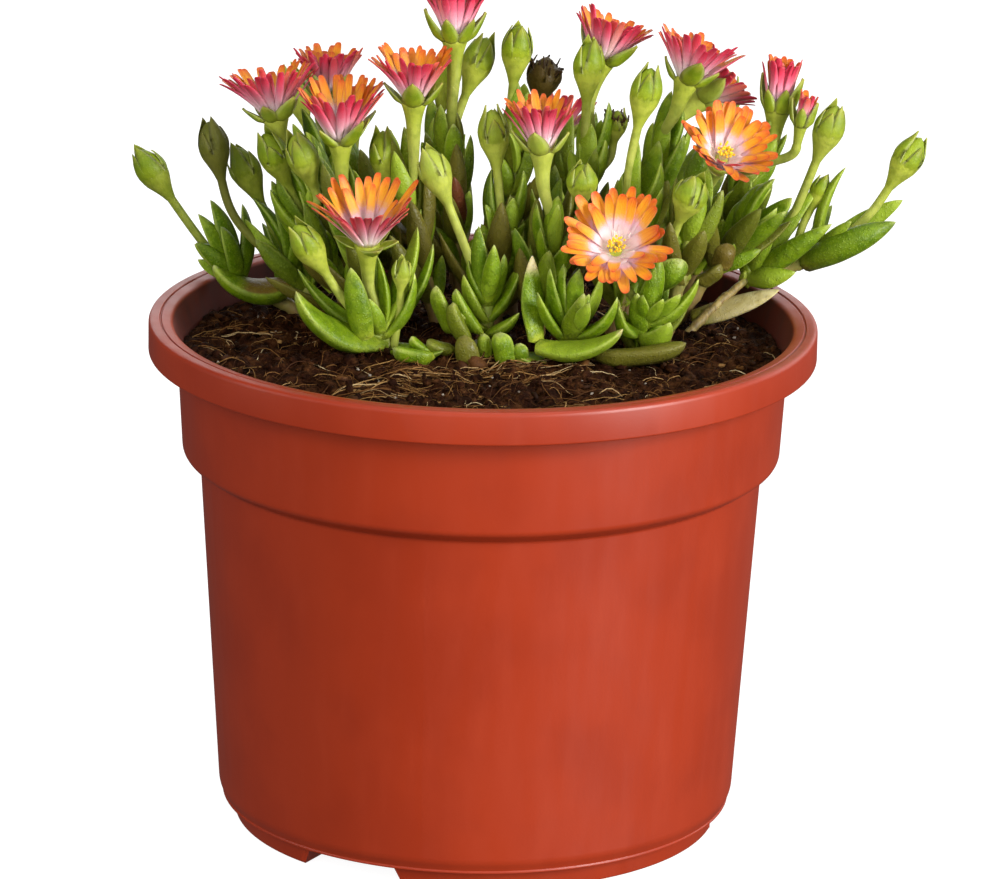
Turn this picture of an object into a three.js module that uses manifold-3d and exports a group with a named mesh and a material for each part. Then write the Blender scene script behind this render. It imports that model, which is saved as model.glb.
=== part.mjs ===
// A fire spinner ice plant growing in a round plastic nursery pot.
// Millimetres, +Z up. The origin is the middle of the pot's underside and -Y is the front.
import * as THREE from "three";
import { mergeVertices } from "three/addons/utils/BufferGeometryUtils.js";
import Module from "manifold-3d";

const wasm = await Module();
wasm.setup();

// Driving dimensions of the pot
const POT_HEIGHT = 131.5;
const RIM_RADIUS = 85;
const WALL = 1.5;
const FLOOR = 1.6;
const RIM_LIP_WIDTH = 6.1;
const RIM_BEVEL = 1.2;
const COLLAR_DEPTH = 8.4;
const BAND_TOP_RADIUS = 77.7;
const BAND_FOOT_RADIUS = 76.2;
const BAND_FOOT_HEIGHT = 97.4;
const BODY_TOP_RADIUS = 71.7;
const BODY_TOP_HEIGHT = 94.6;
const BODY_FOOT_RADIUS = 66.4;
const BODY_FOOT_HEIGHT = 9.2;
const FOOT_RADIUS = 62.1;
const FOOT_HEIGHT = 5.4;
const POT_SIDES = 36;
const BODY_FOOT_CHAMFER = 1.3;
const CHANNEL_ANGLES = [-120, 0, 120];
const CHANNEL_ROOF_WIDTH = 24;
const CHANNEL_FOOT_WIDTH = 29;
const CHANNEL_START = 22;
const DRAIN_RADIUS = 4;
const DRAIN_SIDES = 10;
const DRAIN_PLACES = [32, 50];

// Driving dimensions of the soil and of the fit between neighbours
const GAP = 0.3;
const SIMPLIFY_TOLERANCE = 0.05;
const SOIL_CROWN_HEIGHT = 126;
const SOIL_EDGE_DROP = 3;
const SOIL_EDGE_RADIUS = 76.2;
const SOIL_RINGS = 3;
const ROOT_DEPTH = 4;

// Driving dimensions of the stems and leaves
const STEM_RADIUS = 1.7;
const STEM_SIDES = 5;
const STEM_FOOT_FLARE = 1.2;
const STEM_TOP_TAPER = 0.9;
const END_ROUNDING = 0.02;
const LEAF_WIDTH = 6.6;
const LEAF_THICKNESS_RATIO = 0.68;
const LEAF_BOW = 0.16;
const LEAF_SIDES = 4;
const LEAF_PAIRS_START = 0.3;
const LEAF_PAIRS_END = 0.98;
const LEAF_LEAN_LOW = 48;
const LEAF_LEAN_TOP = 7;
const LEAF_LEAN_LEAST = 6;
const LEAF_LEAN_VARIATION = 8;
const LEAF_TURN_VARIATION = 14;
const LEAF_LENGTH_VARIATION = 0.12;
const LEAF_SHORTENING = 0.22;
const LEAF_SOIL_CLEARANCE = 4;

// Driving dimensions of the buds and flowers
const PEDICEL_RADIUS = 1.15;
const BUD_HEAD = 15;
const BUD_WIDTH = 9.4;
const BUD_SHOULDER_PLACE = 0.56;
const BUD_TAPER_PLACE = 0.26;
const BUD_TAPER_WIDTH = 0.68;
const PEDICEL_NECK_FLARE = 1.15;
const RECEPTACLE_LENGTH = 9;
const RECEPTACLE_SHOULDER = 3;
const RECEPTACLE_NECK_FLARE = 1.3;
const CALYX_EDGE = 0.1;
const CALYX_FLARE = 1.5;
const PETAL_ROOT_RADIUS = 3;
const PETAL_CUP_THICKNESS = 1.1;
const CUP_SIDES = 10;
const CLOSED_FLOWER_LENGTH = 8;
const CLOSED_FLOWER_ROOT = 0.55;
const CLOSED_FLOWER_WALL = 0.8;
const STALK_SIDES = 6;
const STALK_NECK = 8;

const MATERIALS = {
  pot: new THREE.MeshStandardMaterial({ color: 0xa8391f, roughness: 0.38, metalness: 0 }),
  soil: new THREE.MeshStandardMaterial({ color: 0x3a2418, roughness: 0.95, metalness: 0 }),
  leaf: new THREE.MeshStandardMaterial({ color: 0x587f22, roughness: 0.5, metalness: 0 }),
  stalk: new THREE.MeshStandardMaterial({ color: 0x9fb04a, roughness: 0.5, metalness: 0 }),
  petal: new THREE.MeshStandardMaterial({ color: 0xe8743a, roughness: 0.6, metalness: 0 }),
};

// Shoots. Each has a stem from its root in the soil to its top, pairs of leaves placed by
// rule along it, single leaves given by their tips, and buds given by foot, bend and tip.
const SHOOTS = [
  {
    name: "left_outer", root: [-38, 26], via: [-53, 31, 126], top: [-66, 34, 133], pairs: 0,
    leaves: [
      { at: 0.42, tip: [-69, 29, 138], width: 8, bow: 0.26 },
      { at: 0.96, tip: [-72, 36, 152], width: 8 },
      { at: 0.98, tip: [-75, 28, 147], width: 6 },
      { at: 0.98, tip: [-77, 33, 141], width: 5 },
      { at: 0.9, tip: [-62, 44, 149], width: 7 },
      { at: 0.5, tip: [-58, 44, 144], width: 7 },
    ],
    buds: [{ foot: [-67, 33, 134], via: [-74, 32, 143], tip: [-90, 30, 167] }],
  },
  {
    name: "left_middle", root: [-36, 20], via: [-44, 23, 130], top: [-51, 26, 139], pairs: 1,
    length: 22, turn: 70,
    leaves: [
      { at: 0.95, tip: [-55, 26, 160], width: 7 },
      { at: 0.9, tip: [-49, 18, 158], width: 7 },
      { at: 0.8, tip: [-60, 31, 154], width: 6.5 },
      { at: 0.6, tip: [-44, 34, 150], width: 6.5 },
    ],
    buds: [
      { foot: [-52, 25, 138], via: [-65, 26, 148], tip: [-71.5, 26, 176] },
      { foot: [-50, 30, 139], via: [-55, 33, 146], tip: [-65, 35, 167] },
    ],
  },
  {
    name: "left_upper", root: [-30, 13], via: [-38, 14, 136], top: [-45, 16, 150], pairs: 3,
    length: 23, turn: 20,
    leaves: [{ at: 0.95, tip: [-43, 20, 171], width: 6 }],
    buds: [
      { foot: [-45, 17, 151], via: [-49, 17, 158], tip: [-57, 14, 176] },
      { foot: [-44, 14, 150], via: [-43, 13, 160], tip: [-49, 9, 177] },
    ],
  },
  {
    name: "front_left", root: [-22, -8], via: [-24, -11, 126], top: [-26, -12, 132], pairs: 0,
    leaves: [
      { at: 0.7, tip: [-46, -25, 142], width: 8, bow: 0.22 },
      { at: 0.8, tip: [-37, -21, 141], width: 6 },
      { at: 0.95, tip: [-34, -15, 148], width: 7 },
      { at: 0.9, tip: [-12, -9, 151], width: 8 },
      { at: 0.8, tip: [-9, -14, 141], width: 7 },
      { at: 0.95, tip: [-17, -16, 154], width: 6 },
      { at: 0.7, tip: [-29, 4, 148], width: 7 },
      { at: 0.5, tip: [-10, -22, 129], width: 6.5 },
    ],
    buds: [
      { foot: [-28, -12, 132], via: [-33, -14, 136], tip: [-48, -20, 161] },
      { foot: [-22, -12, 131], via: [-21, -12, 138], tip: [-20.5, -13, 151], head: 10, width: 5 },
    ],
  },
  {
    name: "middle_left", root: [-22, 4], via: [-30, 5, 138], top: [-34, 6, 153], pairs: 3,
    length: 24, turn: 35,
  },
  {
    name: "centre_left", root: [-10, 8], via: [-16, 10, 142], top: [-19, 13, 158], pairs: 3,
    length: 24, turn: 60,
    buds: [{ foot: [-20, 14, 157], via: [-25, 15, 161], tip: [-26.5, 16, 177], width: 8 }],
  },
  {
    name: "centre_front", root: [0, -5], via: [1, -7, 131], top: [1, -7, 139], pairs: 1,
    length: 18, turn: 25,
    leaves: [
      { at: 0.95, tip: [0, -10, 158], width: 7.5 },
      { at: 0.95, tip: [5, -14, 154], width: 7 },
      { at: 0.5, tip: [-8, -16, 139], width: 6 },
      { at: 0.45, tip: [9, -17, 138], width: 6 },
      { at: 0.3, tip: [-5, -21, 129], width: 7.5 },
    ],
    buds: [{ foot: [0, -5, 138], via: [-3, -5, 147], tip: [-15.5, -6, 178] }],
  },
  {
    name: "centre", root: [3, 9], via: [3, 9, 138], top: [4, 9, 150], pairs: 3,
    length: 24, turn: 10,
    buds: [{ foot: [4, 9, 149], via: [4, 8, 158], tip: [1, 8, 185] }],
  },
  {
    name: "centre_right", root: [13, 1], via: [15, 2, 138], top: [17, 4, 148], pairs: 3,
    length: 23, turn: 50,
    leaves: [{ at: 0.4, tip: [12, -15, 152], width: 6.5 }],
    buds: [{ foot: [19, 4, 147], via: [24, 3, 152], tip: [24.5, -1, 173], head: 12, width: 8 }],
  },
  {
    name: "front_right_inner", root: [20, -10], via: [21, -12, 128], top: [22, -13, 133], pairs: 1,
    length: 20, turn: 110,
    leaves: [
      { at: 0.8, tip: [35, -27, 137], width: 7.5, bow: 0.2 },
      { at: 0.95, tip: [14, -15, 154], width: 7 },
      { at: 0.95, tip: [27, -19, 149], width: 7 },
      { at: 0.9, tip: [20, -22, 150], width: 7 },
      { at: 0.7, tip: [9, -24, 143], width: 6.5 },
      { at: 0.6, tip: [22, -29, 140], width: 7 },
      { at: 0.3, tip: [9, -22, 128], width: 6 },
    ],
  },
  {
    name: "front_right_outer", root: [38, -6], via: [40, -7, 129], top: [41, -8, 136], pairs: 2,
    length: 19, turn: 15,
    leaves: [
      { at: 0.8, tip: [56, -12, 145], width: 7 },
      { at: 0.9, tip: [34, -19, 144], width: 6.5 },
      { at: 0.8, tip: [47, -20, 143], width: 6.5 },
      { at: 0.95, tip: [44, -12, 154], width: 6.5 },
      { at: 0.15, tip: [53, -19, 127], width: 7 },
    ],
  },
  {
    name: "right_middle", root: [32, 7], via: [36, 7, 144], top: [38, 7, 158], pairs: 3,
    length: 24, turn: 40,
    buds: [{ foot: [37, 6, 157], via: [35, 4, 166], tip: [41.5, 6, 197] }],
  },
  {
    name: "right_front", root: [45, 4], via: [50, 3, 142], top: [52, 3, 153], pairs: 3,
    length: 22, turn: 65,
    buds: [{ foot: [50, 0, 152], via: [46, -4, 156], tip: [53.5, -8, 172], head: 14, width: 10 }],
  },
  {
    name: "right_upright", root: [54, 18], via: [62, 18, 140], top: [66, 18, 150], pairs: 3,
    length: 24, turn: 20,
  },
  {
    name: "right_branch", root: [48, 26], via: [60, 29, 126], top: [71, 30, 137], pairs: 0,
    leaves: [
      { at: 0.97, tip: [91, 21, 153], width: 7.5, bow: 0.2 },
      { at: 0.9, tip: [81, 21, 138], width: 6.5 },
      { at: 0.97, tip: [87, 35, 157], width: 7 },
      { at: 0.95, tip: [76, 23, 154], width: 7 },
      { at: 0.9, tip: [66, 40, 155], width: 7 },
      { at: 0.85, tip: [82, 46, 146], width: 7 },
      { at: 0.72, tip: [77, 22, 135], width: 6.5 },
    ],
    branch: [[70, 30, 136], [79, 30, 137], [88, 29, 143]],
    branchLeaves: [
      { at: 0.9, tip: [108, 24, 152], width: 8, bow: 0.22 },
      { at: 0.97, tip: [104, 35, 154], width: 6.5 },
      { at: 0.97, tip: [95, 28, 165], width: 6.5 },
      { at: 0.9, tip: [95, 22, 155], width: 5 },
      { at: 0.8, tip: [90, 42, 152], width: 6 },
    ],
    buds: [
      { foot: [73, 30, 138], via: [79, 28, 151], tip: [90, 26, 183] },
      { foot: [88, 29, 143], via: [100, 30, 149], tip: [113, 30, 174] },
    ],
  },
  {
    name: "back_left_outer", root: [-26, 22], via: [-36, 22, 148], top: [-43, 23, 162], pairs: 3,
    length: 22, turn: 15,
  },
  {
    name: "back_left_inner", root: [-16, 32], via: [-28, 34, 148], top: [-35, 36, 160], pairs: 3,
    length: 23, turn: 55,
  },
  {
    name: "back_middle_left", root: [-5, 22], via: [-8, 21, 152], top: [-9, 19, 167], pairs: 3,
    length: 22, turn: 30,
    leaves: [{ at: 0.55, tip: [-8, 10, 166], width: 7 }],
    buds: [{ foot: [-9, 22, 165], via: [-9, 29, 173], tip: [0, 32, 198], width: 8 }],
  },
  {
    name: "back_middle", root: [7, 26], via: [7, 27, 156], top: [8, 28, 170], pairs: 3,
    length: 22, turn: 70,
    buds: [
      { foot: [8, 27, 169], via: [6, 26, 180], tip: [8, 25, 203] },
      { foot: [9, 31, 168], via: [12, 38, 172], tip: [15.5, 40, 191], head: 11, width: 11 },
    ],
  },
  {
    name: "back_middle_right", root: [20, 19], via: [24, 20, 152], top: [26, 21, 166], pairs: 3,
    length: 23, turn: 5,
    buds: [
      { foot: [26, 20, 165], via: [25, 19, 176], tip: [26, 21, 200] },
      { foot: [28, 22, 164], via: [32, 24, 168], tip: [33.5, 24, 181], head: 9, width: 5 },
    ],
  },
  {
    name: "back_right_inner", root: [36, 24], via: [42, 25, 154], top: [45, 26, 168], pairs: 3,
    length: 23, turn: 45,
  },
  {
    name: "back_right_outer", root: [49, 32], via: [60, 32, 150], top: [67, 31, 162], pairs: 3,
    length: 22, turn: 25,
  },
  {
    name: "rear_left", root: [-24, 46], via: [-33, 50, 140], top: [-40, 54, 152], pairs: 3,
    length: 24, turn: 30,
    buds: [{ foot: [-40, 54, 151], via: [-45, 57, 160], tip: [-52, 62, 182] }],
  },
  {
    name: "rear_middle_left", root: [-6, 48], via: [-9, 52, 142], top: [-11, 56, 155], pairs: 3,
    length: 24, turn: 65,
    buds: [{ foot: [-11, 56, 154], via: [-13, 60, 163], tip: [-10, 66, 186] }],
  },
  {
    name: "rear_middle_right", root: [16, 46], via: [19, 50, 142], top: [22, 54, 154], pairs: 3,
    length: 24, turn: 15,
  },
  {
    name: "rear_right", root: [38, 46], via: [45, 51, 140], top: [52, 56, 150], pairs: 3,
    length: 24, turn: 50,
    buds: [{ foot: [52, 56, 149], via: [57, 58, 158], tip: [64, 62, 181] }],
  },
];

// Flowers. base is where the petals leave the receptacle, facing is the way it looks, spread
// is the petals' angle from that way, and foot and via give the stalk that carries it.
const FLOWERS = [
  { name: "01", base: [-54, 20, 179], facing: [-0.17, 0.17, 0.97], length: 16, spread: 40,
    foot: [-43.5, 23, 163.5], via: [-50, 21, 169] },
  { name: "02", base: [-41, 38, 181], facing: [0, 0.15, 1], length: 13, spread: 30,
    foot: [-35.5, 36, 161.5], via: [-39, 37, 170] },
  { name: "03", base: [-37, 5, 177], facing: [-0.05, -0.08, 1], length: 16, spread: 32,
    foot: [-34.5, 6, 154.5], via: [-36, 6, 164] },
  { name: "04", base: [-18.5, 8, 187], facing: [0, -0.06, 1], length: 14.5, spread: 33,
    foot: [-19, 12.5, 159.5], via: [-18, 12, 170] },
  { name: "05", base: [-8.5, 18, 201], facing: [0, 0.08, 1], length: 14, spread: 24,
    foot: [-9, 18.5, 168.5], via: [-9.5, 17, 180] },
  { name: "06", base: [14, 0, 177], facing: [-0.04, -0.02, 1], length: 14.5, spread: 31,
    foot: [17, 3.5, 149.5], via: [17, 3, 162] },
  { name: "07", base: [30, 30, 193], facing: [0.33, 0.15, 0.93], length: 13.5, spread: 28,
    foot: [27, 22, 167.5], via: [27, 27, 180] },
  { name: "08", base: [51, 22, 190], facing: [0.31, 0.17, 0.94], length: 14.5, spread: 38,
    foot: [45, 25.5, 169.5], via: [45, 24, 178],
    side: { name: "09", base: [56, 39, 181], facing: [0.75, 0.2, 0.6], length: 13, spread: 36,
      via: [47, 31, 175] } },
  { name: "10", base: [74.5, 30, 181], facing: [0.1, 0.08, 1], length: 13, spread: 13,
    foot: [67.5, 31, 163.5], via: [71, 31, 170],
    side: { name: "11", base: [80.5, 24, 179], facing: [0.15, -0.1, 1], length: 8, spread: 4,
      via: [74, 28, 168] } },
  { name: "12", base: [59.5, 5, 173], facing: [0.25, -0.62, 0.74], length: 14, spread: 42,
    foot: [52.5, 3, 154.5], via: [58, 14, 167] },
  { name: "13", base: [33, -11, 153], facing: [0, -0.79, 0.61], length: 15, spread: 47,
    foot: [40, -6, 136.5], via: [34, -4, 144] },
  { name: "14", base: [-29.5, -14, 155], facing: [-0.03, -0.23, 0.97], length: 17.5, spread: 37,
    foot: [-25.5, -11, 133.5], via: [-29, -11, 143] },
  { name: "15", base: [-36, 60, 167], facing: [-0.1, 0.25, 0.96], length: 13, spread: 36,
    foot: [-38, 55.5, 154], via: [-36.5, 57, 158] },
  { name: "16", base: [18, 63, 164], facing: [0.05, 0.45, 0.88], length: 13, spread: 36,
    foot: [22.5, 54.5, 155.5], via: [21, 60, 157] },
];

const toVector = ([x, y, z]) => new THREE.Vector3(x, y, z);
const UP = new THREE.Vector3(0, 0, 1);
const BACKWARD = new THREE.Vector3(0, 1, 0);

// A repeatable number between -1 and 1 for one leaf and one use of it
function wobble(shoot, leaf, use) {
  const wave = Math.sin(shoot * 12.9898 + leaf * 78.233 + use * 37.719) * 43758.5453;
  return (wave - Math.floor(wave)) * 2 - 1;
}

function soilHeight(x, y) {
  const share = Math.hypot(x, y) / SOIL_EDGE_RADIUS;
  return SOIL_CROWN_HEIGHT - SOIL_EDGE_DROP * share * share;
}

// Closed geometry to solid and back
function toSolid(geometry) {
  const plain = geometry.clone();
  plain.deleteAttribute("normal");
  plain.deleteAttribute("uv");
  const merged = mergeVertices(plain, 1e-5);
  const mesh = new wasm.Mesh({
    numProp: 3,
    vertProperties: merged.attributes.position.array,
    triVerts: new Uint32Array(merged.index.array),
  });
  return new wasm.Manifold(mesh);
}

function toGeometry(solid) {
  const { vertProperties, triVerts } = solid.getMesh();
  const geometry = new THREE.BufferGeometry();
  geometry.setAttribute("position", new THREE.BufferAttribute(vertProperties, 3));
  geometry.setIndex(new THREE.BufferAttribute(triVerts, 1));
  return geometry;
}

// A round body whose sections follow a curve. stations are [place along the curve, radius],
// and the first and the last have no radius. grow makes it that much larger all over.
function growth(curve, stations, { sides = 6, thin = 1, face = UP, grow = 0 } = {}) {
  const geometry = new THREE.SphereGeometry(1, sides, stations.length - 1);
  const position = geometry.attributes.position;
  stations.forEach(([place, radius], row) => {
    const tangent = curve.getTangent(place);
    const end = row === 0 ? -1 : row === stations.length - 1 ? 1 : 0;
    const centre = curve.getPoint(place).addScaledVector(tangent, end * grow);
    const across = new THREE.Vector3().crossVectors(face, tangent).normalize();
    const normal = new THREE.Vector3().crossVectors(tangent, across);
    const wide = end ? 0 : radius + grow;
    const thick = end ? 0 : radius * thin + grow;
    for (let column = 0; column <= sides; column += 1) {
      const angle = ((column % sides) / sides) * 2 * Math.PI;
      const point = centre
        .clone()
        .addScaledVector(across, -Math.cos(angle) * wide)
        .addScaledVector(normal, Math.sin(angle) * thick);
      position.setXYZ(row * (sides + 1) + column, point.x, point.y, point.z);
    }
  });
  return toSolid(geometry);
}

function turned(profile, sides) {
  const points = profile.map(([radius, height]) => new THREE.Vector2(radius, height));
  return new THREE.LatheGeometry(points, sides).rotateX(Math.PI / 2);
}

function largestBody(solid) {
  const bodies = solid.decompose();
  return bodies.reduce((best, body) => (body.volume() > best.volume() ? body : best));
}

// Pot
function potOuterProfile() {
  const skirtInside = RIM_RADIUS - WALL;
  const lipUnderside = POT_HEIGHT - WALL;
  const neck = RIM_RADIUS - RIM_LIP_WIDTH + WALL;
  return [
    [0, 0],
    [FOOT_RADIUS, 0],
    [FOOT_RADIUS, FOOT_HEIGHT],
    [BODY_FOOT_RADIUS - BODY_FOOT_CHAMFER, FOOT_HEIGHT + BODY_FOOT_CHAMFER],
    [BODY_FOOT_RADIUS, BODY_FOOT_HEIGHT],
    [BODY_TOP_RADIUS, BODY_TOP_HEIGHT],
    [BAND_FOOT_RADIUS, BAND_FOOT_HEIGHT],
    [BAND_TOP_RADIUS, POT_HEIGHT - COLLAR_DEPTH],
    [neck, lipUnderside],
    [skirtInside, lipUnderside],
    [skirtInside, POT_HEIGHT - COLLAR_DEPTH],
    [RIM_RADIUS, POT_HEIGHT - COLLAR_DEPTH],
    [RIM_RADIUS, POT_HEIGHT - RIM_BEVEL],
    [RIM_RADIUS - RIM_BEVEL, POT_HEIGHT],
  ];
}

function potInnerProfile() {
  return [
    [RIM_RADIUS - RIM_LIP_WIDTH, POT_HEIGHT],
    [BAND_TOP_RADIUS - WALL, POT_HEIGHT - COLLAR_DEPTH],
    [BAND_FOOT_RADIUS - WALL, BAND_FOOT_HEIGHT + WALL],
    [BODY_TOP_RADIUS - WALL, BODY_TOP_HEIGHT + WALL],
    [BODY_FOOT_RADIUS - WALL, BODY_FOOT_HEIGHT],
    [FOOT_RADIUS - WALL, FOOT_HEIGHT + WALL],
    [FOOT_RADIUS - WALL, FLOOR],
    [0, FLOOR],
  ];
}

// A drainage channel under the floor, wider at its foot, from near the middle out through the ring
function channel(angle, margin, outside) {
  const start = CHANNEL_START - margin;
  const height = FOOT_HEIGHT + margin;
  const splay = (CHANNEL_FOOT_WIDTH - CHANNEL_ROOF_WIDTH) / 2 / FOOT_HEIGHT;
  const box = new THREE.BoxGeometry(outside - start, CHANNEL_ROOF_WIDTH + 2 * margin, height * 2);
  const position = box.getAttribute("position");
  for (let i = 0; i < position.count; i += 1) {
    const y = position.getY(i);
    position.setY(i, y + Math.sign(y) * splay * (height - position.getZ(i)));
  }
  box.translate((outside + start) / 2, 0, 0);
  box.rotateZ(THREE.MathUtils.degToRad(angle));
  return toSolid(box);
}

function drainHole(angle, place) {
  const depth = 6 * FOOT_HEIGHT;
  const hole = new THREE.CylinderGeometry(DRAIN_RADIUS, DRAIN_RADIUS, depth, DRAIN_SIDES);
  hole.rotateX(Math.PI / 2);
  hole.translate(place, 0, 0);
  hole.rotateZ(THREE.MathUtils.degToRad(angle));
  return toSolid(hole);
}

function makePot() {
  let pot = toSolid(turned([...potOuterProfile(), ...potInnerProfile()], POT_SIDES));
  const roofEnd = FOOT_RADIUS - WALL / 2;
  for (const angle of CHANNEL_ANGLES) {
    pot = pot.add(channel(angle, WALL, roofEnd).trimByPlane([0, 0, 1], 0));
  }
  for (const angle of CHANNEL_ANGLES) {
    pot = pot.subtract(channel(angle, 0, FOOT_RADIUS + WALL));
    for (const place of DRAIN_PLACES) pot = pot.subtract(drainHole(angle, place));
  }
  return pot;
}

// The room that the rim takes among the leaves that hang over it
function rimRoom() {
  const inside = RIM_RADIUS - RIM_LIP_WIDTH - GAP;
  const neck = BAND_TOP_RADIUS - WALL - GAP;
  const profile = [
    [neck, POT_HEIGHT - COLLAR_DEPTH],
    [RIM_RADIUS + GAP, POT_HEIGHT - COLLAR_DEPTH],
    [RIM_RADIUS + GAP, POT_HEIGHT + GAP],
    [inside, POT_HEIGHT + GAP],
  ];
  return toSolid(turned([...profile, profile[0]], POT_SIDES));
}

// Soil, shaped by the inside of the pot and by the roots and channels that it lies around
function makeSoil(plantSolids) {
  const edge = potInnerProfile().slice(1);
  const side = edge.map(([radius, height]) => [Math.max(radius - GAP, 0), height]);
  side[0][1] = soilHeight(side[0][0], 0);
  for (const point of side.slice(-2)) point[1] += GAP;
  const top = [];
  for (let ring = 0; ring < SOIL_RINGS; ring += 1) {
    const radius = (side[0][0] * ring) / SOIL_RINGS;
    top.push([radius, soilHeight(radius, 0)]);
  }
  let soil = toSolid(turned([...side.reverse(), ...top.reverse()], POT_SIDES));
  for (const angle of CHANNEL_ANGLES) {
    soil = soil.subtract(channel(angle, WALL + GAP, FOOT_RADIUS + WALL));
  }
  for (const solid of plantSolids) soil = soil.subtract(solid);
  return soil;
}

// Leaves
const LEAF_STATIONS = [[0, 0], [0.16, 0.74], [0.7, 1], [1, 0]];

function leafBody(base, tip, axis, { width = LEAF_WIDTH, bow = LEAF_BOW, grow = 0 }) {
  const chord = tip.clone().sub(base);
  const away = axis.clone().projectOnPlane(chord.clone().normalize()).normalize().negate();
  const bend = base.clone().lerp(tip, 0.5).addScaledVector(away, bow * chord.length() * 2);
  const spine = new THREE.QuadraticBezierCurve3(base, bend, tip);
  const stations = LEAF_STATIONS.map(([place, share]) => [place, (share * width) / 2]);
  return growth(spine, stations, {
    sides: LEAF_SIDES, thin: LEAF_THICKNESS_RATIO, face: away, grow,
  });
}

function givenLeaves(stem, leaves, grow) {
  return leaves.map((leaf) => {
    const base = stem.getPoint(leaf.at);
    return leafBody(base, toVector(leaf.tip), stem.getTangent(leaf.at), { ...leaf, grow });
  });
}

function pairedLeaves(stem, shoot, index, grow) {
  const bodies = [];
  for (let pair = 0; pair < shoot.pairs; pair += 1) {
    const rise = shoot.pairs > 1 ? pair / (shoot.pairs - 1) : 0.5;
    const place = THREE.MathUtils.lerp(LEAF_PAIRS_START, LEAF_PAIRS_END, rise);
    const base = stem.getPoint(place);
    const axis = stem.getTangent(place);
    for (const half of [0, 1]) {
      const leaf = pair * 2 + half;
      const turn = shoot.turn + pair * 90 + half * 180
        + LEAF_TURN_VARIATION * wobble(index, leaf, 1);
      const lean = THREE.MathUtils.lerp(LEAF_LEAN_LOW, LEAF_LEAN_TOP, rise)
        + LEAF_LEAN_VARIATION * wobble(index, leaf, 2);
      const length = shoot.length * (1 - LEAF_SHORTENING * rise)
        * (1 + LEAF_LENGTH_VARIATION * wobble(index, leaf, 3));
      const out = new THREE.Vector3(1, 0, 0).applyAxisAngle(UP, THREE.MathUtils.degToRad(turn));
      out.projectOnPlane(axis).normalize();
      const angle = THREE.MathUtils.degToRad(Math.max(lean, LEAF_LEAN_LEAST));
      const tip = base
        .clone()
        .addScaledVector(axis, Math.cos(angle) * length)
        .addScaledVector(out, Math.sin(angle) * length);
      tip.z = Math.max(tip.z, soilHeight(tip.x, tip.y) + LEAF_SOIL_CLEARANCE);
      bodies.push(leafBody(base, tip, axis, { grow }));
    }
  }
  return bodies;
}

// Buds, each with its pedicel: a receptacle that swells and sepals that close to a point
function budBody({ foot, via, tip, head = BUD_HEAD, width = BUD_WIDTH }, grow) {
  const curve = new THREE.QuadraticBezierCurve3(toVector(foot), toVector(via), toVector(tip));
  const length = curve.getLength();
  const place = (distance) => 1 - distance / length;
  const stations = [
    [0, 0],
    [END_ROUNDING, PEDICEL_RADIUS],
    [place(head), PEDICEL_RADIUS * PEDICEL_NECK_FLARE],
    [place(head * BUD_SHOULDER_PLACE), width / 2],
    [place(head * BUD_TAPER_PLACE), (width / 2) * BUD_TAPER_WIDTH],
    [1, 0],
  ];
  return growth(curve, stations, { sides: STALK_SIDES, face: BACKWARD, grow });
}

function stemCurve({ root: [x, y], via, top }) {
  const start = new THREE.Vector3(x, y, soilHeight(x, y) - ROOT_DEPTH);
  return new THREE.QuadraticBezierCurve3(start, toVector(via), toVector(top));
}

function stemBody(curve, grow) {
  const stations = [
    [0, 0],
    [END_ROUNDING, STEM_RADIUS * STEM_FOOT_FLARE],
    [0.5, STEM_RADIUS],
    [1 - END_ROUNDING, STEM_RADIUS * STEM_TOP_TAPER],
    [1, 0],
  ];
  return growth(curve, stations, { sides: STEM_SIDES, face: BACKWARD, grow });
}

function makeShoot(shoot, index, grow) {
  const stem = stemCurve(shoot);
  const bodies = [
    stemBody(stem, grow),
    ...pairedLeaves(stem, shoot, index, grow),
    ...givenLeaves(stem, shoot.leaves ?? [], grow),
    ...(shoot.buds ?? []).map((bud) => budBody(bud, grow)),
  ];
  if (shoot.branch) {
    const branch = new THREE.QuadraticBezierCurve3(...shoot.branch.map(toVector));
    bodies.push(stemBody(branch, grow), ...givenLeaves(branch, shoot.branchLeaves, grow));
  }
  return wasm.Manifold.union(bodies);
}

// Flowers
function facingTurn(facing) {
  return new THREE.Quaternion().setFromUnitVectors(UP, toVector(facing).normalize());
}

function placed(geometry, { base, facing }) {
  return toSolid(geometry.applyQuaternion(facingTurn(facing)).translate(...base));
}

const isClosed = (flower) => flower.length <= CLOSED_FLOWER_LENGTH;
const headSize = (flower) => (isClosed(flower) ? CLOSED_FLOWER_ROOT : 1);

// The petals together, as the cup that they form
function makePetals(flower, grow) {
  const angle = THREE.MathUtils.degToRad(flower.spread);
  const root = PETAL_ROOT_RADIUS * headSize(flower);
  const wall = isClosed(flower) ? root * CLOSED_FLOWER_WALL : PETAL_CUP_THICKNESS;
  const reach = flower.length + grow;
  const rim = (distance) => [
    root + Math.sin(angle) * reach + Math.cos(angle) * distance,
    Math.cos(angle) * reach - Math.sin(angle) * distance,
  ];
  const floor = PETAL_CUP_THICKNESS + grow;
  const profile = [
    [0, -grow],
    [root + grow, -grow],
    rim(grow),
    rim(-wall - grow),
    [(root - grow) / 2, floor],
    [0, floor],
  ];
  return placed(turned(profile, CUP_SIDES), flower);
}

function stalkCurve(foot, { base, facing, via }) {
  const axis = toVector(facing).normalize();
  const end = toVector(base).addScaledVector(axis, -GAP);
  const neck = end.clone().addScaledVector(axis, -STALK_NECK);
  return new THREE.CubicBezierCurve3(toVector(foot), toVector(via), neck, end);
}

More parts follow.
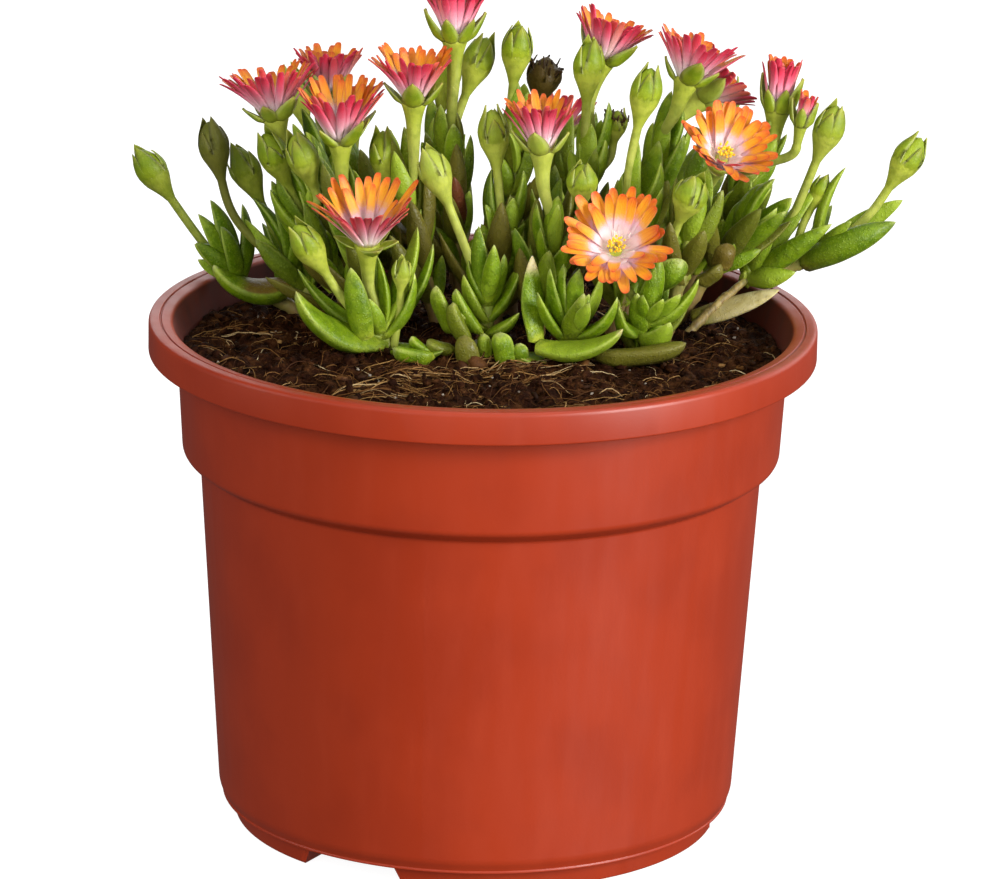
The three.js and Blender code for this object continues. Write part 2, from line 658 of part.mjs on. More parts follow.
// Pedicel and receptacle in one, ending flat under the petals
function stalkBody(foot, flower, grow) {
  const curve = stalkCurve(foot, flower);
  const length = curve.getLength();
  const place = (distance) => 1 - distance / length;
  const shoulder = PETAL_ROOT_RADIUS * headSize(flower);
  const stations = [
    [0, 0],
    [END_ROUNDING, PEDICEL_RADIUS],
    [place(RECEPTACLE_LENGTH), PEDICEL_RADIUS * RECEPTACLE_NECK_FLARE],
    [place(RECEPTACLE_SHOULDER), shoulder],
    [place(PEDICEL_RADIUS * CALYX_EDGE), shoulder * CALYX_FLARE],
    [1, 0],
  ];
  return growth(curve, stations, { sides: STALK_SIDES, face: BACKWARD, grow });
}

function makeStalk(flower, grow) {
  const heads = flower.side ? [flower, flower.side] : [flower];
  return wasm.Manifold.union(heads.map((head) => stalkBody(flower.foot, head, grow)));
}

// Assembly: each solid gives way to those that were made before it
const plant = new THREE.Group();
const taken = [];

function boxesMeet(a, b) {
  const one = a.boundingBox();
  const two = b.boundingBox();
  return one.min.every((low, side) => low < two.max[side] && two.min[side] < one.max[side]);
}

function addMesh(name, solid, material) {
  const mesh = new THREE.Mesh(toGeometry(solid), material);
  mesh.name = name;
  plant.add(mesh);
}

function settle(name, make, material) {
  let solid = make(0);
  for (const earlier of taken) {
    if (boxesMeet(solid, earlier)) solid = solid.subtract(earlier);
  }
  solid = largestBody(solid.simplify(SIMPLIFY_TOLERANCE));
  taken.push(make(GAP));
  addMesh(name, solid, material);
  return solid;
}

taken.push(rimRoom());
const heads = FLOWERS.flatMap((flower) => (flower.side ? [flower, flower.side] : [flower]));
for (const head of heads) {
  settle(`flower_${head.name}_petals`, (grow) => makePetals(head, grow), MATERIALS.petal);
}
for (const flower of FLOWERS) {
  settle(`flower_${flower.name}_stalk`, (grow) => makeStalk(flower, grow), MATERIALS.stalk);
}
SHOOTS.forEach((shoot, index) => {
  settle(`shoot_${shoot.name}`, (grow) => makeShoot(shoot, index, grow), MATERIALS.leaf);
});
addMesh("pot", makePot(), MATERIALS.pot);
const rooted = taken.slice(1).filter((solid) => solid.boundingBox().min[2] < SOIL_CROWN_HEIGHT);
const soil = makeSoil(rooted);
addMesh("soil", largestBody(soil.simplify(SIMPLIFY_TOLERANCE)), MATERIALS.soil);

export default plant;
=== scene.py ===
# A fire spinner ice plant in a round plastic nursery pot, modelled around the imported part.
# Lengths are in millimetres until a mesh is made. The pot stands on z = 0 and -Y is the front.
import math

import bpy
import numpy as np
from mathutils import Matrix


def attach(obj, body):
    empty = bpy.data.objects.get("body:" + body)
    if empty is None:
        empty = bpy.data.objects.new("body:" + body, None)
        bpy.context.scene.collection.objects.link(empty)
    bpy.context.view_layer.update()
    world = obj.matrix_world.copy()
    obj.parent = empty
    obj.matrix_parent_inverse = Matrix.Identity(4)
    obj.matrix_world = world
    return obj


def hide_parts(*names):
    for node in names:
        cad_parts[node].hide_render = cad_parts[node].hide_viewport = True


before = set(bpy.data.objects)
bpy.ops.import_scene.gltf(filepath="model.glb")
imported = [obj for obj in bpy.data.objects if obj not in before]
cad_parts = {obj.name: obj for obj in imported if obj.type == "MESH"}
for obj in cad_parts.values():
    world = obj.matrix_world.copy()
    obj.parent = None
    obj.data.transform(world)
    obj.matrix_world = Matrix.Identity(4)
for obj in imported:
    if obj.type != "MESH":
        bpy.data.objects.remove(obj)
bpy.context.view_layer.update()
MM = 0.001
UP = np.array([0.0, 0.0, 1.0])
BACKWARD = np.array([0.0, 1.0, 0.0])
BODY = "root"

# Driving dimensions of the pot
POT_HEIGHT = 131.5
RIM_RADIUS = 85
WALL = 1.5
FLOOR = 1.6
RIM_LIP_WIDTH = 6.1
RIM_GROOVE_RADIUS = 81.9
RIM_GROOVE_DEPTH = 0.45
COLLAR_DEPTH = 8.4
BAND_TOP_RADIUS = 77.7
BAND_FOOT_RADIUS = 76.2
BAND_FOOT_HEIGHT = 97.4
BODY_TOP_RADIUS = 71.7
BODY_TOP_HEIGHT = 94.6
BODY_FOOT_RADIUS = 66.4
BODY_FOOT_HEIGHT = 9.2
BODY_FOOT_CHAMFER = 1.3
FOOT_RADIUS = 62.1
FOOT_SPLAY = 0.7
FOOT_HEIGHT = 5.4
FOOT_BEAD = 0.35
POT_SIDES = 216
CHANNEL_ANGLES = [-120, 0, 120]
CHANNEL_ROOF_WIDTH = 24
CHANNEL_FOOT_WIDTH = 29
CHANNEL_START = 22
DRAIN_RADIUS = 4
DRAIN_SIDES = 40
DRAIN_PLACES = [32, 50]
# Height above which the inside wall is darkened: a soil stain and painted shade
STAIN_AND_SHADE_START = 108

# Driving dimensions of the soil
SOIL_CROWN_HEIGHT = 126
SOIL_EDGE_DROP = 3
SOIL_EDGE_RADIUS = 76.2
SOIL_GAP = 0.3
SOIL_FLOOR_HEIGHT = 7.8
ROOT_DEPTH = 4
SOIL_SIDES = 400
SOIL_RINGS = 118
SOIL_CALM_START = 66
ROOT_COUNT = 1800
LIGHT_ROOT_COUNT = 190
CRUMB_COUNT = 2300
BARK_COUNT = 300
GRAIN_COUNT = 90

# Lumps on the soil: how wide, how high, and the seed of each layer of them
SOIL_LUMPS = [(9, 1.2, 1), (3.4, 1.2, 2), (1.6, 0.9, 3)]

# Groups of straw on the soil: middle, heading and how many
STRAW_GROUPS = [((-14, -33), -0.3, 60), ((6, -27), 0.12, 60), ((22, -38), 0.3, 26),
                ((-26, -46), 0.4, 26), ((28, -50), -0.3, 20), ((-60, 6), 0.5, 24)]

# The two bits of bark that stand out: middle, half sizes and tint
LARGE_BARK = [((-2, -23, 126.2), (3.6, 2.6, 2.2), 0.42), ((-5, -23.5, 125.6), (2.2, 1.8, 1.6), 0.3)]

# Driving dimensions of the shoots
STEM_RADIUS = 1.7
STEM_RINGS = 22
END_LEAVES_PLACE = 0.97
LEAF_WIDTH = 6.7
LEAF_SLIMNESS = 0.96
LEAF_THICKNESS_RATIO = 0.72
LEAF_BOW = 0.05
LEAF_PAIRS_START = 0.3
LEAF_PAIRS_END = 0.98
LEAF_LEAN_LOW = 36
LEAF_LEAN_TOP = 6
LEAF_LEAN_LEAST = 6
LEAF_LEAN_VARIATION = 8
LEAF_TURN_VARIATION = 14
LEAF_LENGTH_VARIATION = 0.12
LEAF_SHORTENING = 0.22
LEAF_SOIL_CLEARANCE = 4
AXIL_SHARE = 0.4
LEAF_RINGS = 16
KEEL = 1.18

# Driving dimensions of the buds and flowers
PEDICEL_RADIUS = 1.15
STALK_HIDDEN_FOOT = 5
GOLDEN_ANGLE = 2.39996
WITHERED = 2.0
BUD_HEAD = 16.5
BUD_WIDTH = 7.9
FADED_PETAL_COUNT = 22
RECEPTACLE_LENGTH = 7.5
SEPAL_HUG = 3
PETAL_ROOT_RADIUS = 3
PETAL_HALF_THICKNESS = 0.16
STAMINODE_COUNT = 64
STAMEN_COUNT = 40
CLOSED_FLOWER_LENGTH = 8
CLOSED_FLOWER_ROOT = 0.55

# The camera that took the picture
CAMERA_DISTANCE = 1632.66
CAMERA_HEIGHT = 588.74
CAMERA_FOCAL_PIXELS = 6670.10
CAMERA_PITCH = 0.29114
CAMERA_ROLL = 0.01848
CAMERA_YAW = 0.00295
PICTURE_WIDTH_PIXELS = 1000
SENSOR_WIDTH = 36

# Shoots, in the order of the part. Each has a stem from its root in the soil to its top, pairs
# of leaves placed by rule along it, single leaves given by their tips, and buds given by foot,
# bend and tip. low holds plump leaves of old growth near the soil, from base to tip.
# tone darkens the leaves of the shoots on the shaded left side and in the shaded middle: painted shade
SHOOTS = [
    dict(name="left_outer", root=(-38, 26), via=(-53, 31, 126), top=(-66, 34, 133), tone=-.3,
         leaves=[dict(at=.96, tip=(-71, 34, 152.5), width=8.4),
                 dict(at=.97, tip=(-74, 31, 149.5), width=6.5),
                 dict(at=.95, tip=(-74.5, 30, 142), width=6, bow=.12),
                 dict(at=.92, tip=(-68, 28, 147), width=6.6),
                 dict(at=.9, tip=(-63, 40, 150), width=7),
                 dict(at=.5, tip=(-58, 44, 144), width=7)],
         low=[dict(base=(-48, 28, 133.5), tip=(-70, 29, 137), width=10, bow=.2, plump=.5, flush=1)],
         buds=[dict(foot=(-67, 33, 134), via=(-74, 32, 143), tip=(-90, 30, 167), painted_light_tint=0)]),
    dict(name="left_middle", root=(-36, 20), via=(-44, 23, 130), top=(-51, 26, 139),
         pairs=1, length=22, turn=70, tone=-.35, old=.15,
         leaves=[dict(at=.95, tip=(-55, 26, 160), width=7),
                 dict(at=.9, tip=(-49, 18, 158), width=7),
                 dict(at=.8, tip=(-60, 31, 154), width=6.5),
                 dict(at=.6, tip=(-44, 34, 150), width=6.5)],
         buds=[dict(foot=(-52, 25, 138), via=(-65, 26, 148), tip=(-71.5, 26, 176), age=.85, painted_light_tint=0),
               dict(foot=(-50, 30, 139), via=(-55, 33, 146), tip=(-65, 35, 167), age=.3, painted_light_tint=0)]),
    dict(name="left_upper", root=(-30, 13), via=(-38, 14, 136), top=(-45, 16, 150),
         pairs=3, length=23, turn=20, tone=-.3, old=.1,
         leaves=[dict(at=.95, tip=(-43, 20, 171), width=6)],
         buds=[dict(foot=(-45, 17, 151), via=(-49, 17, 158), tip=(-57, 14, 176), painted_light_tint=.1),
               dict(foot=(-44, 14, 150), via=(-43, 13, 160), tip=(-49, 9, 177))]),
    dict(name="front_left", root=(-22, -8), via=(-24, -11, 126), top=(-26, -12, 132),
         leaves=[dict(at=.7, tip=(-47, -24, 144.5), width=10.4, bow=.13, plump=.1, tint=.6,
                      dead_tip=.95),
                 dict(at=.8, tip=(-47, -10, 146.5), width=6.6, bow=.1, tint=.2),
                 dict(at=.9, tip=(-13, -9, 153.5), width=5.8, bow=.1),
                 dict(at=.8, tip=(-17.5, -14, 147), width=5.8, bow=.1),
                 dict(at=.95, tip=(-17, -8, 157.5), width=6, tint=.9),
                 dict(at=.9, tip=(-27, -13, 151), width=5),
                 dict(at=.8, tip=(-22, -10, 148), width=5.4, tint=.2),
                 dict(at=.7, tip=(-29, 4, 148), width=7),
                 dict(at=.5, tip=(-10, -22, 129), width=6.5)],
         buds=[dict(foot=(-28, -12, 132), via=(-33, -14, 136), tip=(-48, -20, 161)),
               dict(foot=(-22, -12, 131), via=(-21, -12, 138), tip=(-20.5, -13, 151),
                    head=10, width=5)],
         low=[dict(base=(-30, -15, 130.5), tip=(-33.5, -17, 149), axis=(0, 1, 0), width=7.6,
                   plump=0, tint=.4),
              dict(base=(-12, -20, 127.5), tip=(-22.5, -22, 129.5), width=6, age=0),
              dict(base=(-13, -19, 128), tip=(-18, -20, 132), width=4, age=0),
              dict(base=(-7, -18, 128.5), tip=(-14, -20, 131), width=4.6, age=.6)]),
    dict(name="middle_left", root=(-22, 4), via=(-30, 5, 138), top=(-34, 6, 153),
         pairs=3, length=24, turn=35, old=.45, tone=-.42),
    dict(name="centre_left", root=(-10, 8), via=(-16, 10, 142), top=(-19, 13, 158),
         pairs=3, length=24, turn=60, old=.62, tone=-.4,
         buds=[dict(foot=(-20, 14, 157), via=(-25, 15, 161), tip=(-26.5, 16, 177), width=8)]),
    dict(name="centre_front", root=(0, -5), via=(1, -7, 131), top=(1, -7, 139),
         pairs=1, length=18, turn=25,
         leaves=[dict(at=.95, tip=(-1.5, -10, 158.5), width=5.6),
                 dict(at=.95, tip=(2.4, -13, 154.5), width=5.4),
                 dict(at=.9, tip=(-4, -8, 149), width=5, tint=.2),
                 dict(at=.9, tip=(5, -9, 151), width=5.2, tint=.3),
                 dict(at=.5, tip=(-8, -16, 139), width=6, age=.45),
                 dict(at=.45, tip=(9, -17, 138), width=6),
                 dict(at=.3, tip=(-5, -21, 129), width=7.5, age=.7)],
         buds=[dict(foot=(0, -5, 138), via=(-3, -5, 147), tip=(-15.5, -6, 178), painted_light_tint=.9)],
         low=[dict(base=(-2.6, -20, 125), tip=(-4.6, -21.5, 133), width=6.6, age=.8),
              dict(base=(-3, -16, 130), tip=(-7.6, -18, 140.5), width=5.6, age=.55),
              dict(base=(-6, -12, 131), tip=(-12, -15, 144), width=5.6, age=.3),
              dict(base=(0, -12, 131), tip=(-7, -14, 143), width=5, age=.15),
              dict(base=(6.6, -19, 125.5), tip=(4.4, -21.5, 134), width=6.4, age=0),
              dict(base=(10, -19, 126), tip=(9.4, -20.6, 131), width=4.6, age=.1),
              dict(base=(1, -18, 126), tip=(.4, -19.5, 133), width=4.4, age=.35)]),
    dict(name="centre", root=(3, 9), via=(3, 9, 138), top=(4, 9, 150),
         pairs=3, length=24, turn=10, old=.5, tone=-.35,
         buds=[dict(foot=(4, 9, 149), via=(4, 8, 158), tip=(1, 8, 185))]),
    dict(name="centre_right", root=(13, 1), via=(15, 2, 138), top=(17, 4, 148),
         pairs=3, length=23, turn=50, old=.3, tone=-.2,
         leaves=[dict(at=.6, tip=(7.5, -4, 156.5), width=6.4),
                 dict(at=.9, tip=(13, 0, 162), width=5.4),
                 dict(at=.8, tip=(14, -5, 157), width=5.2),
                 dict(at=.95, tip=(18.5, -1, 162), width=5.2),
                 dict(at=.7, tip=(22, -5, 154), width=5.6)],
         buds=[dict(foot=(19, 4, 147), via=(24, 3, 152), tip=(24.5, -1, 173), head=12, width=8)]),
    dict(name="front_right_inner", root=(20, -10), via=(21, -12, 128), top=(22, -13, 133),
         pairs=1, length=20, turn=110,
         leaves=[dict(at=.95, tip=(16.5, -20, 150.5), width=6.2),
                 dict(at=.95, tip=(20, -19, 151.5), width=6),
                 dict(at=.95, tip=(24, -20, 150.5), width=6),
                 dict(at=.9, tip=(29.5, -18, 148.5), width=6.6, tint=.95),
                 dict(at=.85, tip=(33.5, -22, 144), width=6.6, bow=.14),
                 dict(at=.9, tip=(26.5, -25, 143), width=5, tint=.8),
                 dict(at=.7, tip=(13.5, -23, 145), width=5.6),
                 dict(at=.3, tip=(9, -22, 128), width=6)],
         low=[dict(base=(14, -20, 130.5), tip=(35, -27, 137), width=9, bow=.12, plump=0, tint=.8,
                   dead_tip=.9),
              dict(base=(13.5, -18, 131), tip=(12, -15.5, 152.5), width=7.4, plump=0, dead_tip=.76),
              dict(base=(28, -20, 128.4), tip=(51, -19.5, 131.5), width=7, plump=.9, age=.85)]),
    dict(name="front_right_outer", root=(38, -6), via=(40, -7, 129), top=(41, -8, 136),
         pairs=2, length=19, turn=15,
         leaves=[dict(at=.8, tip=(54, -13, 146.5), width=7.2, bow=.1),
                 dict(at=.9, tip=(49.5, -15, 143), width=5.8, tint=.7),
                 dict(at=.9, tip=(45, -18, 142.5), width=5.2, tint=.8),
                 dict(at=.9, tip=(40, -18, 143.5), width=5.2),
                 dict(at=.7, tip=(34, -20, 141), width=7, bow=.16),
                 dict(at=.6, tip=(47, -20, 137), width=8, bow=.16, tint=.8),
                 dict(at=.95, tip=(44, -12, 152), width=6)],
         low=[dict(base=(43, -2, 143), tip=(49.5, -9, 150.5), width=9.4, plump=.6, tint=.3),
              dict(base=(41, -3, 142), tip=(43.5, -9, 148), width=6, plump=.6, tint=.4)]),
    dict(name="right_middle", root=(32, 7), via=(36, 7, 144), top=(38, 7, 158),
         pairs=3, length=24, turn=40,
         buds=[dict(foot=(37, 6, 157), via=(35, 4, 166), tip=(41.5, 6, 197))]),
    dict(name="right_front", root=(45, 4), via=(50, 3, 142), top=(52, 3, 153),
         pairs=3, length=22, turn=65, bare=.55,
         low=[dict(base=(60, 8, 144.5), tip=(61.5, 5, 151), width=6.4, age=.9, red=.35),
              dict(base=(54, 6, 141), tip=(60, 3, 146), width=5.4, age=1)],
         buds=[dict(foot=(50, 2, 146), via=(46.5, -3, 152), tip=(53.5, -8, 172),
                    head=14, width=8.6)]),
    dict(name="right_upright", root=(47, 24), via=(58, 22, 140), top=(66, 18, 150),
         pairs=3, length=24, turn=20, bare=.62),
    dict(name="right_branch", root=(49, 12), via=(59, 18, 132), top=(71, 30, 137), woody=1,
         leaves=[dict(at=.97, tip=(89, 21, 152.5), width=6.8, bow=.1, tint=.4),
                 dict(at=.9, tip=(80, 21, 139.5), width=6.4, bow=.1, tint=.9),
                 dict(at=.95, tip=(68, 24, 163), width=5.4),
                 dict(at=.97, tip=(86.5, 31, 160.5), width=6.4, bow=.06, tint=.8),
                 dict(at=.95, tip=(74.5, 23, 155), width=6, tint=.7),
                 dict(at=.9, tip=(66, 40, 155), width=7),
                 dict(at=.85, tip=(82, 46, 146), width=7)],
         low=[dict(base=(54, 18, 127.5), tip=(76, 20, 135), axis=(0, -.8, .6), width=7.4, plump=0,
                   age=.8, dead_tip=.12)],
         branch=[(70, 30, 136), (79, 30, 137), (88, 29, 143)],
         branch_leaves=[dict(at=.72, tip=(105.5, 24, 152.5), width=8.2, bow=.17, tint=.2),
                        dict(at=.97, tip=(107.5, 31, 156.5), width=6.4, tint=.9),
                        dict(at=.9, tip=(92.5, 29, 165.5), width=6, bow=.08),
                        dict(at=.9, tip=(94, 22, 153), width=5),
                        dict(at=.8, tip=(90, 42, 152), width=6)],
         buds=[dict(foot=(73, 30, 138), via=(79, 28, 151), tip=(90, 26, 183), slender=1),
               dict(foot=(80, 30, 143), via=(82, 30, 150), tip=(88, 31, 163), head=11, width=5),
               dict(foot=(88, 29, 143), via=(99, 30, 152), tip=(112, 30, 174), slender=1)]),
    dict(name="back_left_outer", root=(-26, 22), via=(-36, 22, 148), top=(-43, 23, 162),
         pairs=3, length=22, turn=15, tone=-.3, old=.15),
    dict(name="back_left_inner", root=(-16, 32), via=(-28, 34, 148), top=(-35, 36, 160),
         pairs=3, length=23, turn=55),
    dict(name="back_middle_left", root=(-5, 22), via=(-8, 21, 152), top=(-9, 19, 167),
         pairs=3, length=22, turn=30, old=.4, tone=-.2,
         leaves=[dict(at=.55, tip=(-8, 10, 166), width=7, age=1, red=1)],
         buds=[dict(foot=(-9, 22, 165), via=(-9, 29, 173), tip=(0, 32, 198), width=8)]),
    dict(name="back_middle", root=(7, 26), via=(7, 27, 156), top=(8, 28, 170),
         pairs=3, length=22, turn=70,
         buds=[dict(foot=(8, 27, 169), via=(6, 26, 180), tip=(8, 25, 203)),
               dict(foot=(9, 31, 168), via=(12, 38, 172), tip=(15.5, 40, 191),
                    head=13, width=8.8, age=1.35, faded=1)]),
    dict(name="back_middle_right", root=(20, 19), via=(24, 20, 152), top=(26, 21, 166),
         pairs=3, length=23, turn=5,
         buds=[dict(foot=(26, 20, 165), via=(25, 19, 176), tip=(26, 21, 200)),
               dict(foot=(28, 22, 164), via=(32, 24, 168), tip=(33.5, 24, 181),
                    head=9.5, width=5.6, age=.5, faded=1)]),
    dict(name="back_right_inner", root=(36, 24), via=(42, 25, 154), top=(45, 26, 168),
         pairs=3, length=23, turn=45),
    dict(name="back_right_outer", root=(49, 32), via=(60, 32, 150), top=(67, 31, 162),
         pairs=3, length=22, turn=25),
    dict(name="rear_left", root=(-24, 46), via=(-33, 50, 140), top=(-40, 54, 152),
         pairs=3, length=24, turn=30,
         buds=[dict(foot=(-40, 54, 151), via=(-45, 57, 160), tip=(-52, 62, 182))]),
    dict(name="rear_middle_left", root=(-6, 48), via=(-9, 52, 142), top=(-11, 56, 155),
         pairs=3, length=24, turn=65,
         buds=[dict(foot=(-11, 56, 154), via=(-13, 60, 163), tip=(-10, 66, 186))]),
    dict(name="rear_middle_right", root=(16, 46), via=(19, 50, 142), top=(22, 54, 154),
         pairs=3, length=24, turn=15),
    dict(name="rear_right", root=(38, 46), via=(45, 51, 140), top=(52, 56, 150),
         pairs=3, length=24, turn=50,
         buds=[dict(foot=(52, 56, 149), via=(57, 58, 158), tip=(64, 62, 181))]),
]

# Flowers. base is where the petals leave the receptacle, facing is the way it looks, spread
# is the petals' angle from that way, and foot and via give the stalk that carries it.
FLOWERS = [
    dict(name="01", base=(-54, 20, 179), facing=(-.17, .17, .97), length=16, spread=40,
         foot=(-43.5, 23, 163.5), via=(-50, 21, 169)),
    dict(name="02", base=(-41, 38, 181), facing=(0, .15, 1), length=13, spread=30,
         foot=(-35.5, 36, 161.5), via=(-39, 37, 170)),
    dict(name="03", base=(-37, 5, 177), facing=(-.05, -.08, 1), length=16, spread=32,
         foot=(-34.5, 6, 154.5), via=(-36, 6, 164)),
    dict(name="04", base=(-18.5, 8, 187), facing=(0, -.06, 1), length=14.5, spread=33,
         foot=(-19, 12.5, 159.5), via=(-18, 12, 170)),
    dict(name="05", base=(-8.5, 18, 201), facing=(0, .08, 1), length=14, spread=24,
         foot=(-9, 18.5, 168.5), via=(-9.5, 17, 180)),
    dict(name="06", base=(14, 0, 177), facing=(-.04, -.02, 1), length=14.5, spread=28, broad=.9,
         foot=(17, 3.5, 149.5), via=(17, 3, 162)),
    dict(name="07", base=(29.5, 30, 193), facing=(.3, .15, .93), length=14, spread=33,
         foot=(27, 22, 167.5), via=(27, 27, 180)),
    dict(name="08", base=(51, 22, 190), facing=(.31, .17, .94), length=14.5, spread=38,
         foot=(45, 25.5, 169.5), via=(45, 24, 178)),
    dict(name="09", base=(56, 39, 181), facing=(.75, .2, .6), length=13, spread=36,
         foot=(45, 25.5, 169.5), via=(47, 31, 175), stalk="08"),
    dict(name="10", base=(74.5, 30, 181), facing=(.1, .08, 1), length=13, spread=8,
         foot=(67.5, 31, 163.5), via=(71, 31, 170),
         whorls=[(16, 1, 1, 1), (14, .97, -3, .85), (12, .92, -7, .65), (8, .86, -10, .4)]),
    dict(name="11", base=(80.5, 24, 179), facing=(.15, -.1, 1), length=8, spread=4,
         foot=(67.5, 31, 163.5), via=(74, 28, 168), pull=.25, stalk="10"),
    dict(name="12", base=(59.5, 5, 173), facing=(.25, -.62, .74), length=14, spread=42, broad=1.2,
         foot=(52.5, 3, 154.5), via=(58, 14, 167)),
    dict(name="13", base=(33, -11, 153), facing=(0, -.79, .61), length=15, spread=47, broad=1.22,
         foot=(40, -6, 136.5), via=(34, -4, 144)),
    dict(name="14", base=(-29.5, -14, 155), facing=(-.03, -.23, .97), length=17.5, spread=37,
         foot=(-25.5, -11, 133.5), via=(-29, -11, 143), hug=20),
    dict(name="15", base=(-36, 60, 167), facing=(-.1, .25, .96), length=13, spread=36,
         foot=(-38, 55.5, 154), via=(-36.5, 57, 158)),
    dict(name="16", base=(18, 63, 164), facing=(.05, .45, .88), length=13, spread=36,
         foot=(22.5, 54.5, 155.5), via=(21, 60, 157)),
]


# Curves and vectors
def unit(vector):
    vector = np.asarray(vector, float)
    return vector / np.maximum(np.linalg.norm(vector, axis=-1, keepdims=True), 1e-9)


def lerp(low, high, share):
    return low + (high - low) * share


def smooth(low, high, value):
    share = np.clip((np.asarray(value, float) - low) / (high - low), 0, 1)
    return share * share * (3 - 2 * share)


def across_from(vector, axis):
    """The part of a vector that is square to an axis of length 1."""
    return vector - np.dot(vector, axis) * axis


def bezier(controls, share):
    """Points of the curve with these control points, at shares of its way from 0 to 1."""
    share = np.atleast_1d(np.asarray(share, float))[:, None]
    points = [np.asarray(control, float)[None, :] for control in controls]
    while len(points) > 1:
        points = [lerp(one, two, share) for one, two in zip(points, points[1:])]
    return points[0]


def bezier_way(controls, share):
    """The unit direction of that curve."""
    steps = [np.subtract(two, one) for one, two in zip(controls, controls[1:])]
    return unit(bezier(steps, share))


def place_and_way(curve, share):
    """A point of a curve, and the curve's unit direction there."""
    return bezier(curve, share)[0], bezier_way(curve, share)[0]


def outward(turn, axis):
    """The unit vector square to an axis that points nearest to this turn seen from above."""
    return unit(across_from(np.array([math.cos(turn), math.sin(turn), 0]), axis))


def around(axes, turn):
    """The unit vector at this turn round the last of three axes."""
    return axes[0] * math.cos(turn) + axes[1] * math.sin(turn)


def leaning_path(start, leans, steps):
    """Distances from an axis and heights along it of a path that leans away step by step."""
    out = start[0] + np.concatenate([[0], (np.sin(leans) * steps).cumsum()])
    up = start[1] + np.concatenate([[0], (np.cos(leans) * steps).cumsum()])
    return np.stack([out, up], axis=1)


def soil_height(x, y):
    share = np.hypot(x, y) / SOIL_EDGE_RADIUS
    return SOIL_CROWN_HEIGHT - SOIL_EDGE_DROP * share * share


def wobble(shoot, leaf, use):
    """A repeatable number between -1 and 1 for one leaf and one use of it, as in the part."""
    wave = math.sin(shoot * 12.9898 + leaf * 78.233 + use * 37.719) * 43758.5453
    return (wave - math.floor(wave)) * 2 - 1


def lumps(x, y, size, seed):
    """Smooth random heights from -1 to 1 whose bumps are about this size."""
    table = np.random.default_rng(seed).uniform(-1, 1, (64, 64))
    column, row = x / size + 20, y / size + 20
    i, j = np.floor(column).astype(int), np.floor(row).astype(int)
    u, v = column - i, row - j
    u, v = u * u * (3 - 2 * u), v * v * (3 - 2 * v)
    low = lerp(table[i % 64, j % 64], table[(i + 1) % 64, j % 64], u)
    high = lerp(table[i % 64, (j + 1) % 64], table[(i + 1) % 64, (j + 1) % 64], u)
    return lerp(low, high, v)


# Meshes
def placed(name, data):
    """A new object in the scene."""
    thing = bpy.data.objects.new(name, data)
    bpy.context.scene.collection.objects.link(thing)
    return thing


class Body:
    """The closed shapes of one piece, gathered before the piece is made."""

    def __init__(self):
        self.points = []
        self.faces = []
        self.painted = []
        self.count = 0

    def add(self, points, quads, triangles, **painted):
        """One closed shape. painted gives values for its points, each a number or a list."""
        points = np.asarray(points, float)
        corners = [quads[:, [0, 1, 2]], quads[:, [0, 2, 3]], triangles]
        solid = points[np.concatenate(corners)]
        volume = np.einsum("ij,ij->i", solid[:, 0], np.cross(solid[:, 1], solid[:, 2])).sum()
        for faces in (quads, triangles):
            outward_faces = faces if volume > 0 else faces[:, ::-1]
            self.faces.append(outward_faces + self.count)
        values = {name: np.broadcast_to(np.asarray(value, float), len(points))
                  for name, value in painted.items()}
        self.painted.append((len(points), values))
        self.points.append(points)
        self.count += len(points)

    def make(self, name, material, slot, *nodes):
        """The finished piece, which rides on the pot's body and stands for these nodes."""
        mesh = bpy.data.meshes.new(name)
        sizes = np.concatenate([np.full(len(faces), faces.shape[1]) for faces in self.faces])
        corners = np.concatenate([faces.ravel() for faces in self.faces])
        mesh.vertices.add(self.count)
        mesh.vertices.foreach_set("co", (np.concatenate(self.points) * MM).ravel())
        mesh.loops.add(len(corners))
        mesh.loops.foreach_set("vertex_index", corners.astype(np.int32))
        mesh.polygons.add(len(sizes))
        starts = np.concatenate([[0], np.cumsum(sizes)[:-1]])
        mesh.polygons.foreach_set("loop_start", starts.astype(np.int32))
        mesh.update(calc_edges=True)
        mesh.shade_smooth()
        self.paint(mesh)
        mesh.materials.append(material)
        piece = placed(name, mesh)
        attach(piece, BODY)
        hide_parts(*nodes)
        return piece

    def paint(self, mesh):
        """Writes the painted values on the mesh, 0 where a shape has none."""
        for key in sorted({key for _, values in self.painted for key in values}):
            column = [values.get(key, np.zeros(count)) for count, values in self.painted]
            attribute = mesh.attributes.new(key, "FLOAT", "POINT")
            attribute.data.foreach_set("value", np.concatenate(column).astype(np.float32))


def ring_faces(rings, sides):
    """Quads between the rings of a body, and the fans that close its two ends."""
    row = np.arange(sides)
    after = (row + 1) % sides
    starts = (np.arange(rings - 1) * sides)[:, None]
    quads = np.stack([starts + row, starts + after, starts + sides + after,
                      starts + sides + row], axis=2).reshape(-1, 4)
    first, last = rings * sides, rings * sides + 1
    top = (rings - 1) * sides
    near = np.stack([np.full(sides, first), after, row], axis=1)
    far = np.stack([np.full(sides, last), top + row, top + after], axis=1)
    return quads, np.concatenate([near, far])


def close_rings(body, rings, ends, **painted):
    """Adds rings of points as one closed body. ends are the points that close it."""
    count, sides = rings.shape[:2]
    points = np.concatenate([rings.reshape(-1, 3), np.asarray(ends, float)])
    spread = {}
    for name, value in painted.items():
        value = np.asarray(value, float)
        if value.ndim == 1:
            value = np.repeat(value[:, None], sides, axis=1)
        if value.ndim == 2:
            ends_of = [value[0].mean(), value[-1].mean()]
            value = np.concatenate([value.ravel(), ends_of])
        spread[name] = value
    body.add(points, *ring_faces(count, sides), **spread)


def round_section(sides):
    angle = np.arange(sides) / sides * 2 * np.pi
    return np.stack([np.cos(angle), np.sin(angle)], axis=1)


